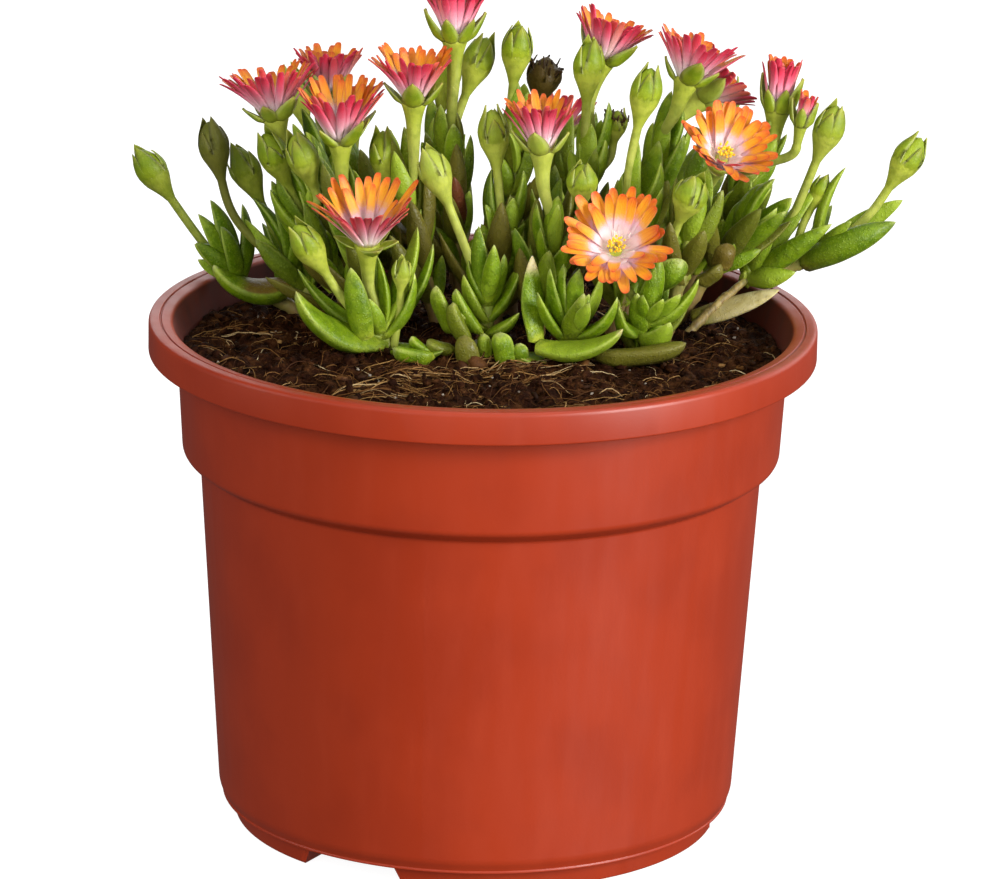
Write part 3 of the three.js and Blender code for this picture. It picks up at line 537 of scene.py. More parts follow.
def sweep(body, spine, face, widths, thicks, section, **painted):
    """A closed body along a spine. face is the way its upper side looks, and section is a ring
    of points in half widths and half thicknesses."""
    way = unit(np.gradient(spine, axis=0))
    across = unit(np.cross(way, face))
    above = np.cross(across, way)
    wide = (section[None, :, 0] * np.asarray(widths)[:, None])[..., None]
    thick = (section[None, :, 1] * np.asarray(thicks)[:, None])[..., None]
    rings = spine[:, None] + across[:, None] * wide + above[:, None] * thick
    ends = [spine[0] - way[0] * widths[0] * 0.3, spine[-1] + way[-1] * widths[-1] * 0.6]
    close_rings(body, rings, ends, **painted)


# Materials
class Nodes:
    """A material and short calls for its nodes. Places on the surface are in millimetres."""

    def __init__(self, name):
        self.material = bpy.data.materials.new(name)
        self.material.use_nodes = True
        self.tree = self.material.node_tree
        self.shader = self.tree.nodes["Principled BSDF"]
        place = self.add("TexCoord", {}).outputs["Object"]
        self.place = self.add("VectorMath", {0: place, "Scale": 1 / MM}, operation="SCALE").outputs[0]

    def add(self, kind, sockets, **settings):
        """A new node with these settings, and a value, colour or link for each socket."""
        node = self.tree.nodes.new("ShaderNode" + kind)
        for name, value in settings.items():
            setattr(node, name, value)
        for socket, value in sockets.items():
            self.put(node.inputs[socket], value)
        return node

    def put(self, socket, value):
        if isinstance(value, bpy.types.NodeSocket):
            self.tree.links.new(value, socket)
        elif isinstance(value, str):
            socket.default_value = colour(value)
        else:
            socket.default_value = value

    def set(self, **sockets):
        """Sets the shader's sockets, named with _ for a space."""
        for name, value in sockets.items():
            self.put(self.shader.inputs[name.replace("_", " ")], value)

    def painted(self, *names):
        """The values of these names that are painted on the mesh."""
        found = [self.add("Attribute", {}, attribute_name=name).outputs["Fac"] for name in names]
        return found if len(found) > 1 else found[0]

    def stretched(self, scale):
        """The place with each axis stretched by its own factor."""
        return self.add("VectorMath", {0: self.place, 1: scale}, operation="MULTIPLY").outputs[0]

    def streaks(self, rim, along, seed):
        """Random values that run lengthwise along a petal, different for each seed."""
        ways = {"X": self.math("MULTIPLY", rim, 4.5), "Y": self.math("MULTIPLY", along, 1.6),
                "Z": self.math("MULTIPLY", seed, 60)}
        return self.noise(1, 2, self.add("CombineXYZ", ways).outputs[0])

    def height(self):
        """Height above the ground, in millimetres."""
        return self.add("SeparateXYZ", {0: self.place}).outputs["Z"]

    def distance_from_axis(self):
        """Distance from the pot's axis, in millimetres."""
        level = self.stretched((1, 1, 0))
        return self.add("VectorMath", {0: level}, operation="LENGTH").outputs["Value"]

    def noise(self, size, detail=3, place=None, distortion=0):
        """Smooth random values whose patches are about this size in millimetres."""
        sockets = {"Vector": place or self.place, "Scale": 1 / size, "Detail": detail,
                   "Distortion": distortion}
        return self.add("TexNoise", sockets).outputs["Fac"]

    def cells(self, size):
        """Distance from the middle of the nearest of many cells of about this size."""
        return self.add("TexVoronoi", {"Vector": self.place, "Scale": 1 / size}).outputs["Distance"]

    def math(self, operation, one, two=0.0):
        return self.add("Math", {0: one, 1: two}, operation=operation).outputs[0]

    def span(self, value, low, high, start=0.0, end=1.0):
        """value from low to high, turned smoothly into start to end."""
        sockets = {"Value": value, "From Min": low, "From Max": high, "To Min": start, "To Max": end}
        return self.add("MapRange", sockets, interpolation_type="SMOOTHSTEP").outputs["Result"]

    def mix(self, share, one, two):
        return self.add("Mix", {"Factor": share, 6: one, 7: two}, data_type="RGBA").outputs[2]

    def layered(self, tone, *layers):
        """A colour under layers. Each is (value, none, full, strength, colour): it is absent where
        value is none, and has its strength where value is full."""
        for value, none, full, strength, other in layers:
            tone = self.mix(self.span(value, none, full, 0, strength), tone, other)
        return tone

    def ramp(self, value, *stops):
        """A colour that follows value through stops of (place, colour)."""
        node = self.add("ValToRGB", {"Fac": value})
        elements = node.color_ramp.elements
        while len(elements) < len(stops):
            elements.new(0.5)
        for element, (position, tone) in zip(elements, stops):
            element.position = position
            element.color = colour(tone)
        return node.outputs["Color"]

    def bump(self, height, depth, under=None):
        """Raises the surface by height times depth, in millimetres."""
        sockets = {"Distance": depth * MM, "Height": height}
        if under is not None:
            sockets["Normal"] = under
        return self.add("Bump", sockets).outputs["Normal"]

    def beaded(self, beads, depth, under):
        """Raises a small bead in the middle of each of the cells."""
        return self.bump(self.math("SUBTRACT", 1.0, self.span(beads, 0.0, 0.5)), depth, under)


def colour(code):
    """Linear colour of a six-digit code."""
    parts = [int(code[i:i + 2], 16) / 255 for i in (1, 3, 5)]
    return [p / 12.92 if p <= 0.04045 else ((p + 0.055) / 1.055) ** 2.4 for p in parts] + [1.0]


def inner_wall(n):
    """1 on the inner faces of the rim and of the wall under it, and 0 elsewhere: where the plastic is
    darkened as a soil stain and painted shade.
    """
    collar = POT_HEIGHT - COLLAR_DEPTH
    neck = RIM_RADIUS - RIM_LIP_WIDTH - 0.1
    wall = BAND_TOP_RADIUS - WALL + 0.2
    distance, height = n.distance_from_axis(), n.height()
    above = n.span(height, collar, collar + 0.5)
    below = n.span(height, POT_HEIGHT - 1.5, POT_HEIGHT - 0.2, 1, 0)
    high = n.math("MULTIPLY", n.math("MULTIPLY", n.span(distance, neck, neck + 0.5, 1, 0), above), below)
    over_soil = n.span(height, STAIN_AND_SHADE_START, STAIN_AND_SHADE_START + 4)
    low = n.math("MULTIPLY", n.span(distance, wall, wall + 0.3, 1, 0), over_soil)
    return n.math("MAXIMUM", high, low)


def plastic_material():
    n = Nodes("moulded_plastic")
    clouds = n.noise(28, 3)
    rubbed = n.noise(5, 4, n.stretched((1, 1, 0.18)))
    tone = n.mix(n.span(clouds, 0.35, 0.65), "#982c0c", "#a0300e")
    tone = n.layered(tone, (rubbed, 0.55, 0.8, 0.2, "#aa3a18"))
    inside = inner_wall(n)
    # Darkens the inside of the rim and the wall above the soil nearly to black: a soil stain and painted
    # shade in the pot's mouth
    stain_and_shade = n.math("MULTIPLY", inside, n.span(rubbed, 0.2, 0.6, 0.9, 0.75))
    roughness = n.math("ADD", n.span(rubbed, 0.3, 0.7, 0.4, 0.46), n.math("MULTIPLY", inside, 0.4))
    n.set(Base_Color=n.mix(stain_and_shade, tone, "#2c0a04"), Roughness=roughness, Specular_IOR_Level=0.68,
          Normal=n.bump(n.noise(0.55, 2), 0.012, n.bump(clouds, 0.08)))
    return n.material


def soil_material():
    n = Nodes("moist_peat")
    coarse, fine, specks = n.noise(3.2, 6, distortion=0.6), n.noise(0.7, 5), n.cells(1.3)
    tone = n.ramp(coarse, (0.3, "#120501"), (0.48, "#2e1406"), (0.62, "#4c2c14"), (0.78, "#6e4828"))
    tone = n.layered(tone, (fine, 0.35, 0.7, 0.6, "#1c0c05"), (specks, 0.16, 0.0, 0.3, "#7c5936"))
    height = n.math("ADD", n.math("MULTIPLY", coarse, 1.4), fine)
    n.set(Base_Color=tone, Roughness=n.span(fine, 0.3, 0.7, 0.7, 0.95), Specular_IOR_Level=0.1,
          Normal=n.bump(height, 0.9))
    return n.material


def fibre_material():
    n = Nodes("dry_fibre")
    grain = n.noise(0.5, 3)
    tone = n.ramp(n.painted("tint"), (0.0, "#1e0c03"), (0.35, "#46260e"), (0.6, "#7c5226"),
                  (0.8, "#b48a50"), (1.0, "#e6d0a0"))
    tone = n.layered(tone, (grain, 0.35, 0.75, 0.5, "#301a0a"))
    n.set(Base_Color=tone, Roughness=0.7, Specular_IOR_Level=0.2, Normal=n.bump(grain, 0.1))
    return n.material


def grain_material():
    n = Nodes("white_grain")
    tone = n.mix(n.noise(0.4, 2), "#b8ac9c", "#7d7062")
    n.set(Base_Color=tone, Roughness=0.6, Normal=n.bump(n.noise(0.3, 2), 0.08))
    return n.material


def leaf_material():
    n = Nodes("leaf_flesh")
    along, rim, tint, keel = n.painted("along", "rim", "tint", "keel")
    age, dry, red = n.painted("age", "dry", "red")
    patches, fine, beads = n.noise(2.6, 4), n.noise(0.6, 2), n.cells(0.62)
    tone = n.ramp(along, (0.0, "#a8b03a"), (0.12, "#84971c"), (0.4, "#688208"), (0.78, "#708c0c"),
                  (0.92, "#96aa34"), (1.0, "#c6ca80"))
    # Dark green at low tint: random tone, and painted shade on the leaves of shaded shoots
    tone = n.layered(tone, (patches, 0.36, 0.66, 0.65, "#456206"), (tint, 0.5, 1.0, 0.5, "#a6ba36"),
                     (tint, 0.5, 0.0, 0.65, "#3e5c04"), (keel, 0.6, 1.0, 0.12, "#9cb03c"))
    edge = n.math("MULTIPLY", n.span(rim, 0.9, 1.0), n.span(along, 0.3, 0.95, 0.12, 0.6))
    old = n.mix(patches, "#4b3a12", "#76692a")
    tone = n.layered(n.mix(edge, tone, "#b4c060"), (fine, 0.5, 0.75, 0.3, "#a0b434"),
                     (beads, 0.3, 0.0, 0.24, "#bccc54"), (age, 0.0, 1.0, 0.85, old),
                     (red, 0.0, 1.0, 0.85, "#6a3020"))
    husk = n.mix(n.span(patches, 0.3, 0.75), n.mix(along, "#8c7e46", "#d8cc98"), "#a8985c")
    n.set(Base_Color=n.mix(dry, tone, husk), Roughness=n.span(fine, 0.3, 0.7, 0.36, 0.5),
          Specular_IOR_Level=0.32, Subsurface_Weight=0.2, Subsurface_Radius=(1.0, 1.2, 0.2),
          Subsurface_Scale=1.2 * MM, Normal=n.beaded(beads, 0.13, n.bump(patches, 0.4)))
    return n.material


def stem_material():
    n = Nodes("stem_skin")
    along, age = n.painted("along", "age")
    grain = n.noise(1.2, 4, n.stretched((1, 1, 0.3)))
    tone = n.ramp(along, (0.0, "#7a5c38"), (0.35, "#8a7440"), (0.65, "#8c9440"), (1.0, "#93a944"))
    tone = n.layered(tone, (grain, 0.4, 0.7, 0.4, "#5a4a28"))
    bark = n.mix(n.span(grain, 0.3, 0.7), "#a89254", "#6c5a2e")
    n.set(Base_Color=n.mix(age, tone, bark), Roughness=0.55, Subsurface_Weight=0.1,
          Subsurface_Scale=1 * MM, Normal=n.bump(grain, 0.25))
    return n.material


def stalk_material():
    n = Nodes("stalk_skin")
    along, rim, tint, age = n.painted("along", "rim", "tint", "age")
    patches, fine, beads = n.noise(2.2, 4), n.noise(0.5, 2), n.cells(0.55)
    tone = n.ramp(along, (0.0, "#8e983a"), (0.3, "#b0b654"), (0.46, "#a6b03c"), (0.56, "#bac248"),
                  (0.66, "#9cac26"), (0.84, "#7a9018"), (1.0, "#9c9c38"))
    # Low tint darkens and high tint lightens the green: random tone on most stalks, and painted shade and
    # painted light on the buds given a tint
    tone = n.layered(tone, (patches, 0.4, 0.7, 0.4, "#5e7410"), (tint, 0.5, 1.0, 0.4, "#bcc25c"),
                     (tint, 0.5, 0.0, 0.45, "#5c7010"), (rim, 0.6, 1.0, 0.5, "#c8cc80"),
                     (beads, 0.28, 0.0, 0.13, "#d0d678"),
                     (age, 0.0, 1.0, 0.8, n.mix(patches, "#3a3414", "#6c6430")),
                     (age, 1.05, 1.4, 0.95, n.mix(fine, "#40300f", "#6c5426")),
                     (age, 1.6, WITHERED, 0.95, n.mix(fine, "#1c1108", "#503820")))
    n.set(Base_Color=tone, Roughness=n.span(fine, 0.3, 0.7, 0.4, 0.55), Specular_IOR_Level=0.3,
          Subsurface_Weight=0.2, Subsurface_Radius=(1.0, 1.1, 0.25), Subsurface_Scale=1.2 * MM,
          Normal=n.beaded(beads, 0.05, n.bump(patches, 0.2)))
    return n.material


def petal_material():
    n = Nodes("petal_silk")
    along, inner, tint, rim = n.painted("along", "inner", "tint", "rim")
    veins = n.noise(0.5, 3)
    place = n.math("ADD", along, n.math("MULTIPLY", n.math("SUBTRACT", veins, 0.5), 0.14))
    streaks = n.streaks(rim, along, tint)
    inside = n.ramp(place, (0.0, "#ece0d8"), (0.38, "#e8d2d2"), (0.47, "#e8bcc6"), (0.54, "#ecb27c"),
                    (0.62, "#f0aa34"), (0.8, "#ee9e1c"), (0.92, "#e67e20"), (1.0, "#d4541c"))
    deep = n.ramp(place, (0.42, "#e8c2cc"), (0.56, "#e09448"), (0.7, "#de7c14"), (1.0, "#c84c18"))
    inside = n.layered(inside, (rim, 0.6, 1.0, 0.45, deep), (streaks, 0.42, 0.65, 0.45, deep),
                       (tint, 0.7, 1.0, 0.4, deep))
    outside = n.ramp(place, (0.0, "#fff0ee"), (0.22, "#fcd6dc"), (0.42, "#f8a4b4"), (0.62, "#ee6a82"),
                     (0.82, "#da3452"), (1.0, "#b82238"))
    outside = n.layered(outside, (streaks, 0.45, 0.65, 0.25, n.mix(along, "#f4bccc", "#b02244")),
                        (tint, 0.7, 1.0, 0.5, n.mix(place, "#f8d8d0", "#ee7a48")))
    n.set(Base_Color=n.mix(inner, outside, inside), Roughness=0.5, Sheen_Weight=0.04,
          Sheen_Roughness=0.4, Subsurface_Weight=0.2, Subsurface_Radius=(1.0, 0.9, 0.9),
          Subsurface_Scale=0.6 * MM, Normal=n.bump(veins, 0.08))
    return n.material


def centre_material():
    n = Nodes("stamens")
    fine = n.noise(0.4, 2)
    tone = n.ramp(n.painted("tint"), (0.0, "#f2e6d6"), (0.22, "#f0ccd0"), (0.4, "#ece0b4"),
                  (0.5, "#f2d53a"), (0.75, "#f4c818"), (1.0, "#c9c060"))
    tone = n.layered(tone, (fine, 0.45, 0.85, 0.15, "#e8cc8a"))
    n.set(Base_Color=tone, Roughness=0.6, Subsurface_Weight=0.15, Subsurface_Scale=0.5 * MM,
          Normal=n.bump(fine, 0.05))
    return n.material


# Pot
def rounded(profile):
    """Points of a profile whose corners, given as radius, height and rounding, are arcs."""
    places = np.array([corner[:2] for corner in profile], float)
    points = []
    for i, corner in enumerate(profile):
        here = places[i]
        rounding = corner[2] if len(corner) > 2 else 0
        if not rounding:
            points.append(here[None])
            continue
        before, after = places[i - 1] - here, places[(i + 1) % len(places)] - here
        reach = min(rounding, 0.45 * np.linalg.norm(before), 0.45 * np.linalg.norm(after))
        arc = [here + unit(before) * reach, here, here + unit(after) * reach]
        points.append(bezier(arc, np.linspace(0, 1, 6)))
    return np.concatenate(points)


def pot_profile():
    skirt_inside = RIM_RADIUS - WALL
    collar = POT_HEIGHT - COLLAR_DEPTH
    inside = RIM_RADIUS - RIM_LIP_WIDTH
    groove = RIM_GROOVE_RADIUS
    bead = BODY_FOOT_RADIUS - BODY_FOOT_CHAMFER
    return rounded([
        (0, 0), (FOOT_RADIUS, 0, 0.5), (FOOT_RADIUS + FOOT_SPLAY, FOOT_HEIGHT, 0.25),
        (bead, FOOT_HEIGHT, 0.1), (bead + FOOT_BEAD, FOOT_HEIGHT + 0.15, 0.1),
        (bead + FOOT_BEAD, FOOT_HEIGHT + 0.55, 0.15), (bead + 0.15, FOOT_HEIGHT + 0.8, 0.15),
        (BODY_FOOT_RADIUS - 0.25, BODY_FOOT_HEIGHT - 1.1, 1.2),
        (BODY_FOOT_RADIUS, BODY_FOOT_HEIGHT, 1.2),
        (BODY_TOP_RADIUS, BODY_TOP_HEIGHT, 0.7), (BAND_FOOT_RADIUS, BAND_FOOT_HEIGHT, 1.3),
        (BAND_TOP_RADIUS, collar, 0.5),
        (RIM_RADIUS - RIM_LIP_WIDTH + WALL, POT_HEIGHT - WALL, 0.5),
        (skirt_inside, POT_HEIGHT - WALL, 0.5), (skirt_inside, collar, 0.3),
        (RIM_RADIUS, collar, 0.6), (RIM_RADIUS, POT_HEIGHT, 1.5),
        (groove + 0.3, POT_HEIGHT, 0.12), (groove + 0.1, POT_HEIGHT - RIM_GROOVE_DEPTH, 0.1),
        (groove - 0.1, POT_HEIGHT - RIM_GROOVE_DEPTH, 0.1), (groove - 0.35, POT_HEIGHT - 0.1, 0.12),
        (inside, POT_HEIGHT - 0.5, 0.9),
        (BAND_TOP_RADIUS - WALL, collar, 1), (BAND_FOOT_RADIUS - WALL, BAND_FOOT_HEIGHT + WALL, 1),
        (BODY_TOP_RADIUS - WALL, BODY_TOP_HEIGHT + WALL, 1),
        (BODY_FOOT_RADIUS - WALL, BODY_FOOT_HEIGHT, 1.5),
        (FOOT_RADIUS - WALL, FOOT_HEIGHT + WALL, 0.5), (FOOT_RADIUS - WALL, FLOOR, 0.5), (0, FLOOR),
    ])


def turned(body, profile, sides, **painted):
    """A closed body of revolution. The profile starts and ends on the axis."""
    angle = np.arange(sides) / sides * 2 * np.pi
    inner = profile[1:-1]
    rings = np.stack([inner[:, :1] * np.cos(angle), inner[:, :1] * np.sin(angle),
                      np.repeat(inner[:, 1:], sides, axis=1)], axis=2)
    close_rings(body, rings, [(0, 0, profile[0][1]), (0, 0, profile[-1][1])], **painted)


def prism(rings):
    """An object between two rings of points, for a join or a cut, which combine removes."""
    rings = np.array(rings)
    body = Body()
    close_rings(body, rings, rings.mean(axis=1))
    mesh = bpy.data.meshes.new("tool")
    mesh.from_pydata(np.concatenate(body.points) * MM, [],
                     [list(face) for faces in body.faces for face in faces])
    return placed("tool", mesh)


def channel_box(angle, low, high, margin, start, end):
    """A box along the drainage channel at this angle, wider at its foot than at its roof."""
    turn = math.radians(angle)
    along = np.array([math.cos(turn), math.sin(turn)])
    across = np.array([-math.sin(turn), math.cos(turn)])
    rings = []
    for height in (low, high):
        half = lerp(CHANNEL_FOOT_WIDTH, CHANNEL_ROOF_WIDTH, height / FOOT_HEIGHT) / 2 + margin
        corners = [(start, -half), (end, -half), (end, half), (start, half)]
        rings.append([[*(along * a + across * b), height] for a, b in corners])
    return prism(rings)


def drain_pin(angle, place, low, high):
    """A round pin upright in the drainage channel at this angle."""
    turn = math.radians(angle)
    centre = np.array([math.cos(turn), math.sin(turn)]) * place
    circle = round_section(DRAIN_SIDES) * DRAIN_RADIUS + centre
    return prism([[[*point, height] for point in circle] for height in (low, high)])


def combine(piece, other, operation):
    """Joins other to the piece or cuts it away, and removes other."""
    modifier = piece.modifiers.new("combine", "BOOLEAN")
    modifier.operation = operation
    modifier.solver = "EXACT"
    modifier.object = other
    bpy.context.view_layer.update()
    evaluated = piece.evaluated_get(bpy.context.evaluated_depsgraph_get())
    mesh = bpy.data.meshes.new_from_object(evaluated)
    piece.modifiers.clear()
    piece.data = mesh
    bpy.data.objects.remove(other)


def make_pot(material):
    body = Body()
    turned(body, pot_profile(), POT_SIDES)
    pot = body.make("pot_body", material, "pot_plastic", "pot")
    roof_end = FOOT_RADIUS - WALL
    cut_end = FOOT_RADIUS + 2 * WALL
    for angle in CHANNEL_ANGLES:
        roof = channel_box(angle, FLOOR / 2, FOOT_HEIGHT + WALL, WALL, CHANNEL_START - WALL, roof_end)
        combine(pot, roof, "UNION")
    for angle in CHANNEL_ANGLES:
        tunnel = channel_box(angle, -WALL, FOOT_HEIGHT, 0, CHANNEL_START, cut_end)
        combine(pot, tunnel, "DIFFERENCE")
        for place in DRAIN_PLACES:
            combine(pot, drain_pin(angle, place, -WALL, 2 * FOOT_HEIGHT), "DIFFERENCE")
    pot.data.name = "pot_body"
    pot.data.shade_smooth()
    pot.data.set_sharp_from_angle(angle=math.radians(38))
    return pot


# Soil
def soil_surface(x, y):
    """Height of the loose top of the soil."""
    rough = sum(height * lumps(x, y, size, seed) for size, height, seed in SOIL_LUMPS)
    edge = smooth(SOIL_CALM_START, SOIL_EDGE_RADIUS, np.hypot(x, y))
    return soil_height(x, y) + rough * (1 - 0.4 * edge) + edge * 0.6


def make_soil(material):
    body = Body()
    angle = np.arange(SOIL_SIDES) / SOIL_SIDES * 2 * np.pi
    rings = []
    for radius in np.linspace(0.8, SOIL_EDGE_RADIUS - SOIL_GAP, SOIL_RINGS):
        x, y = radius * np.cos(angle), radius * np.sin(angle)
        rings.append(np.stack([x, y, soil_surface(x, y)], axis=1))
    for outside, height in [(BAND_FOOT_RADIUS, BAND_FOOT_HEIGHT + WALL),
                            (BODY_TOP_RADIUS, BODY_TOP_HEIGHT + WALL),
                            (BODY_FOOT_RADIUS, BODY_FOOT_HEIGHT), (FOOT_RADIUS, SOIL_FLOOR_HEIGHT)]:
        radius = outside - WALL - SOIL_GAP
        rings.append(np.stack([radius * np.cos(angle), radius * np.sin(angle),
                               np.full(SOIL_SIDES, height)], axis=1))
    close_rings(body, np.array(rings), [(0, 0, soil_surface(0, 0)), (0, 0, SOIL_FLOOR_HEIGHT)])
    body.make("soil_top", material, "potting_soil", "soil")


def fibre(body, random, start, heading, length, radius, tint, lift=0.0, wander=0.9):
    """One thin root that lies on the soil and may rise from it in an arch."""
    count = max(6, int(length / 1.8))
    share = np.linspace(0, 1, count)
    bend = random.normal(0, wander) + random.normal(0, 0.5) * np.sin(share * 6)
    turn = heading + bend * share + random.normal(0, 0.05, count).cumsum() * 0.6
    step = length / count
    x = start[0] + (np.cos(turn) * step).cumsum()
    y = start[1] + (np.sin(turn) * step).cumsum()
    inside = np.minimum(1, (SOIL_EDGE_RADIUS - 1.5) / np.maximum(np.hypot(x, y), 1))
    x, y = x * inside, y * inside
    arch = np.sin(share * np.pi) * lift
    sunk = -0.5 * (np.abs(share - 0.5) > 0.46)
    ground = soil_surface(x, y)
    ways = [ground[0], 2 * ground[count // 2] - (ground[0] + ground[-1]) / 2, ground[-1]]
    level = bezier([[way] for way in ways], share)[:, 0]
    z = lerp(level, ground, 0.35) + radius + arch + sunk
    radii = radius * (1 - 0.55 * np.abs(share - 0.4))
    sweep(body, np.stack([x, y, z], axis=1), UP, radii, radii, round_section(5), tint=tint)


def soil_place(random, low=0.0, high=SOIL_EDGE_RADIUS - 3):
    """A random place on the soil, evenly spread between two radii."""
    radius = math.sqrt(random.uniform(low * low, high * high))
    turn = random.uniform(0, 2 * math.pi)
    return radius * math.cos(turn), radius * math.sin(turn)


def make_fibres(material):
    """Short roots all over the soil, longer and lighter ones, and the groups of straw."""
    random = np.random.default_rng(11)
    body, straw = Body(), Body()
    for _ in range(ROOT_COUNT):
        start = soil_place(random, 12)
        fibre(body, random, start, random.uniform(0, 2 * math.pi), random.gamma(3, 2.4),
              random.uniform(0.05, 0.13), random.beta(1.3, 2.4), abs(random.normal(0, 0.8)), 0.7)
    for _ in range(LIGHT_ROOT_COUNT):
        start = soil_place(random, 25)
        fibre(body, random, start, random.uniform(0, 2 * math.pi), random.uniform(6, 20),
              random.uniform(0.06, 0.13), random.uniform(0.4, 1), random.uniform(0, 1.3), 0.2)
    body.make("soil_roots", material, "potting_soil")
    for centre, heading, count in STRAW_GROUPS:
        for _ in range(count):
            start = (centre[0] - 9 + random.normal(0, 5), centre[1] + random.normal(0, 2.6))
            fibre(straw, random, start, heading + random.normal(0, 0.45), random.uniform(7, 21),
                  random.uniform(0.06, 0.18), random.uniform(0.3, 0.9), random.uniform(0, 1.4), 0.3)
    straw.make("straw_fibres", material, "potting_soil")


def pebble(body, random, centre, size, rows=5, sides=7, **painted):
    """An uneven small lump. size gives its half length, width and height."""
    turn = random.uniform(0, 2 * math.pi)
    sine, cosine = math.sin(turn), math.cos(turn)
    spin = np.array([[cosine, -sine, 0], [sine, cosine, 0], [0, 0, 1]])
    polar = np.linspace(0.16, 0.84, rows) * np.pi
    angle = np.arange(sides) / sides * 2 * np.pi
    shape = np.stack([np.sin(polar)[:, None] * np.cos(angle), np.sin(polar)[:, None] * np.sin(angle),
                      np.repeat(np.cos(polar)[:, None], sides, axis=1)], axis=2)
    shape = shape * random.uniform(0.6, 1.25, (rows, sides, 1)) * size
    shape = shape @ spin.T + centre
    ends = [np.array([0, 0, end]) * size + centre for end in (0.95, -0.95)]
    close_rings(body, shape, ends, **painted)


def make_crumbs(material):
    """Loose crumbs of peat that break up the surface."""
    random = np.random.default_rng(31)
    body = Body()
    for _ in range(CRUMB_COUNT):
        x, y = soil_place(random, 10, SOIL_EDGE_RADIUS - 2)
        length = random.gamma(2.2, 0.28) + 0.2
        size = np.array([length, length * random.uniform(0.6, 0.95), length * random.uniform(0.45, 0.8)])
        pebble(body, random, (x, y, soil_surface(x, y) + size[2] * random.uniform(0, 0.5)), size, 4, 6)
    body.make("soil_crumbs", material, "potting_soil")


def make_bits(fibre_look, grain_look):
    """Bits of bark, and white grains of sand and perlite."""
    random = np.random.default_rng(23)
    bits, grains = Body(), Body()
    for _ in range(BARK_COUNT):
        x, y = soil_place(random)
        length = random.uniform(0.6, 2.2)
        size = (length, length * random.uniform(0.3, 0.7), length * random.uniform(0.2, 0.5))
        pebble(bits, random, (x, y, soil_surface(x, y) + 0.2), size, tint=random.beta(1.2, 3.6))
    for centre, size, tint in LARGE_BARK:
        pebble(bits, random, centre, size, tint=tint)
    bits.make("bark_bits", fibre_look, "potting_soil")
    for _ in range(GRAIN_COUNT):
        x, y = soil_place(random)
        size = random.uniform(0.25, 0.6)
        pebble(grains, random, (x, y, soil_surface(x, y) + size * 0.4), (size, size * 0.8, size * 0.7))
    grains.make("white_grains", grain_look, "potting_soil")


# Leaves
# A leaf's outline: a nearly flat face above, blunt margins, and a keel below
LEAF_SECTION = np.array([(1, 0), (.94, .17), (.6, .35), (0, .42), (-.6, .35), (-.94, .17),
                         (-1, 0), (-.94, -.28), (-.64, -.8), (0, -KEEL), (.64, -.8), (.94, -.28)])


def leaf(body, random, base, tip, axis, width=LEAF_WIDTH, bow=LEAF_BOW, age=0.0, dry=0.0,
         dead_tip=0.0, red=0.0, flush=0.0, plump=0.0, tint=None):
    """One fleshy leaf from base to tip that bows away from the stem's axis."""
    base, tip = np.asarray(base, float), np.asarray(tip, float)
    chord = tip - base
    reach = np.linalg.norm(chord)
    away = -unit(across_from(np.asarray(axis, float), chord / reach))
    bend = lerp(base, tip, 0.5) + away * bow * reach * 2
    share = 1 - (1 - np.linspace(0, 1, LEAF_RINGS) * 0.985) ** 1.25
    spine = bezier([base, bend, tip], share)
    point = random.uniform(2.6, 4.0) + 3 * plump
    rise = lerp(0.7 - 0.45 * plump, 1.0, smooth(-0.05, 0.42 - 0.2 * plump, share))
    uneven = 1 + 0.04 * np.sin(share * 8 + random.uniform(0, 6))
    widths = width * LEAF_SLIMNESS / 2 * rise * uneven * (1 - share ** point) ** (0.8 - 0.22 * plump)
    thicks = widths * LEAF_THICKNESS_RATIO * (1 + 0.35 * plump) * (1 - 0.7 * dry)
    turn = random.normal(0, 0.2) + random.normal(0, 0.25) * share
    side = unit(np.cross(chord, away))
    face = -away * np.cos(turn)[:, None] + side * np.sin(turn)[:, None]
    everywhere = np.ones((LEAF_RINGS, len(LEAF_SECTION)))
    dried = dry * everywhere
    if dead_tip:
        dried = smooth(dead_tip, dead_tip + 0.1, share)[:, None] * everywhere
    above = (LEAF_SECTION[:, 1] > 0.1)[None] * smooth(0.75, 0.5, share)[:, None]
    if tint is None:
        tint = np.clip(random.normal(0.5, 0.22), 0, 1)
    sweep(body, spine, face, widths, thicks, LEAF_SECTION, along=share, tint=tint, age=age, dry=dried,
          rim=np.abs(LEAF_SECTION[:, 0]) * everywhere,
          keel=np.maximum(0, -LEAF_SECTION[:, 1] / KEEL) * everywhere,
          red=np.maximum(red * everywhere, flush * above * 0.7))


def axil_leaves(body, random, base, axis, out, size):
    """Two short young leaves that rise in the angle between a leaf and its stem."""
    side = np.cross(axis, out)
    for sign in (-1, 1):
        way = unit(axis * 1.0 + out * random.uniform(0.15, 0.45) + side * sign * random.uniform(0.1, 0.4))
        length = size * random.uniform(0.42, 0.68)
        foot = base + out * 1.2 + side * sign * 0.8
        leaf(body, random, foot, foot + way * length, unit(axis + out), length * 0.42,
             tint=random.uniform(0.45, 0.95))


def end_leaves(body, random, base, axis, size):
    """The youngest pair, upright and pressed together."""
    out = outward(random.uniform(0, math.pi), axis)
    for sign in (-1, 1):
        foot = base + out * sign * 0.9
        way = unit(axis + out * sign * random.uniform(0.1, 0.3))
        leaf(body, random, foot, foot + way * size * random.uniform(0.5, 0.7), axis, size * 0.27,
             tint=random.uniform(0.6, 0.95))


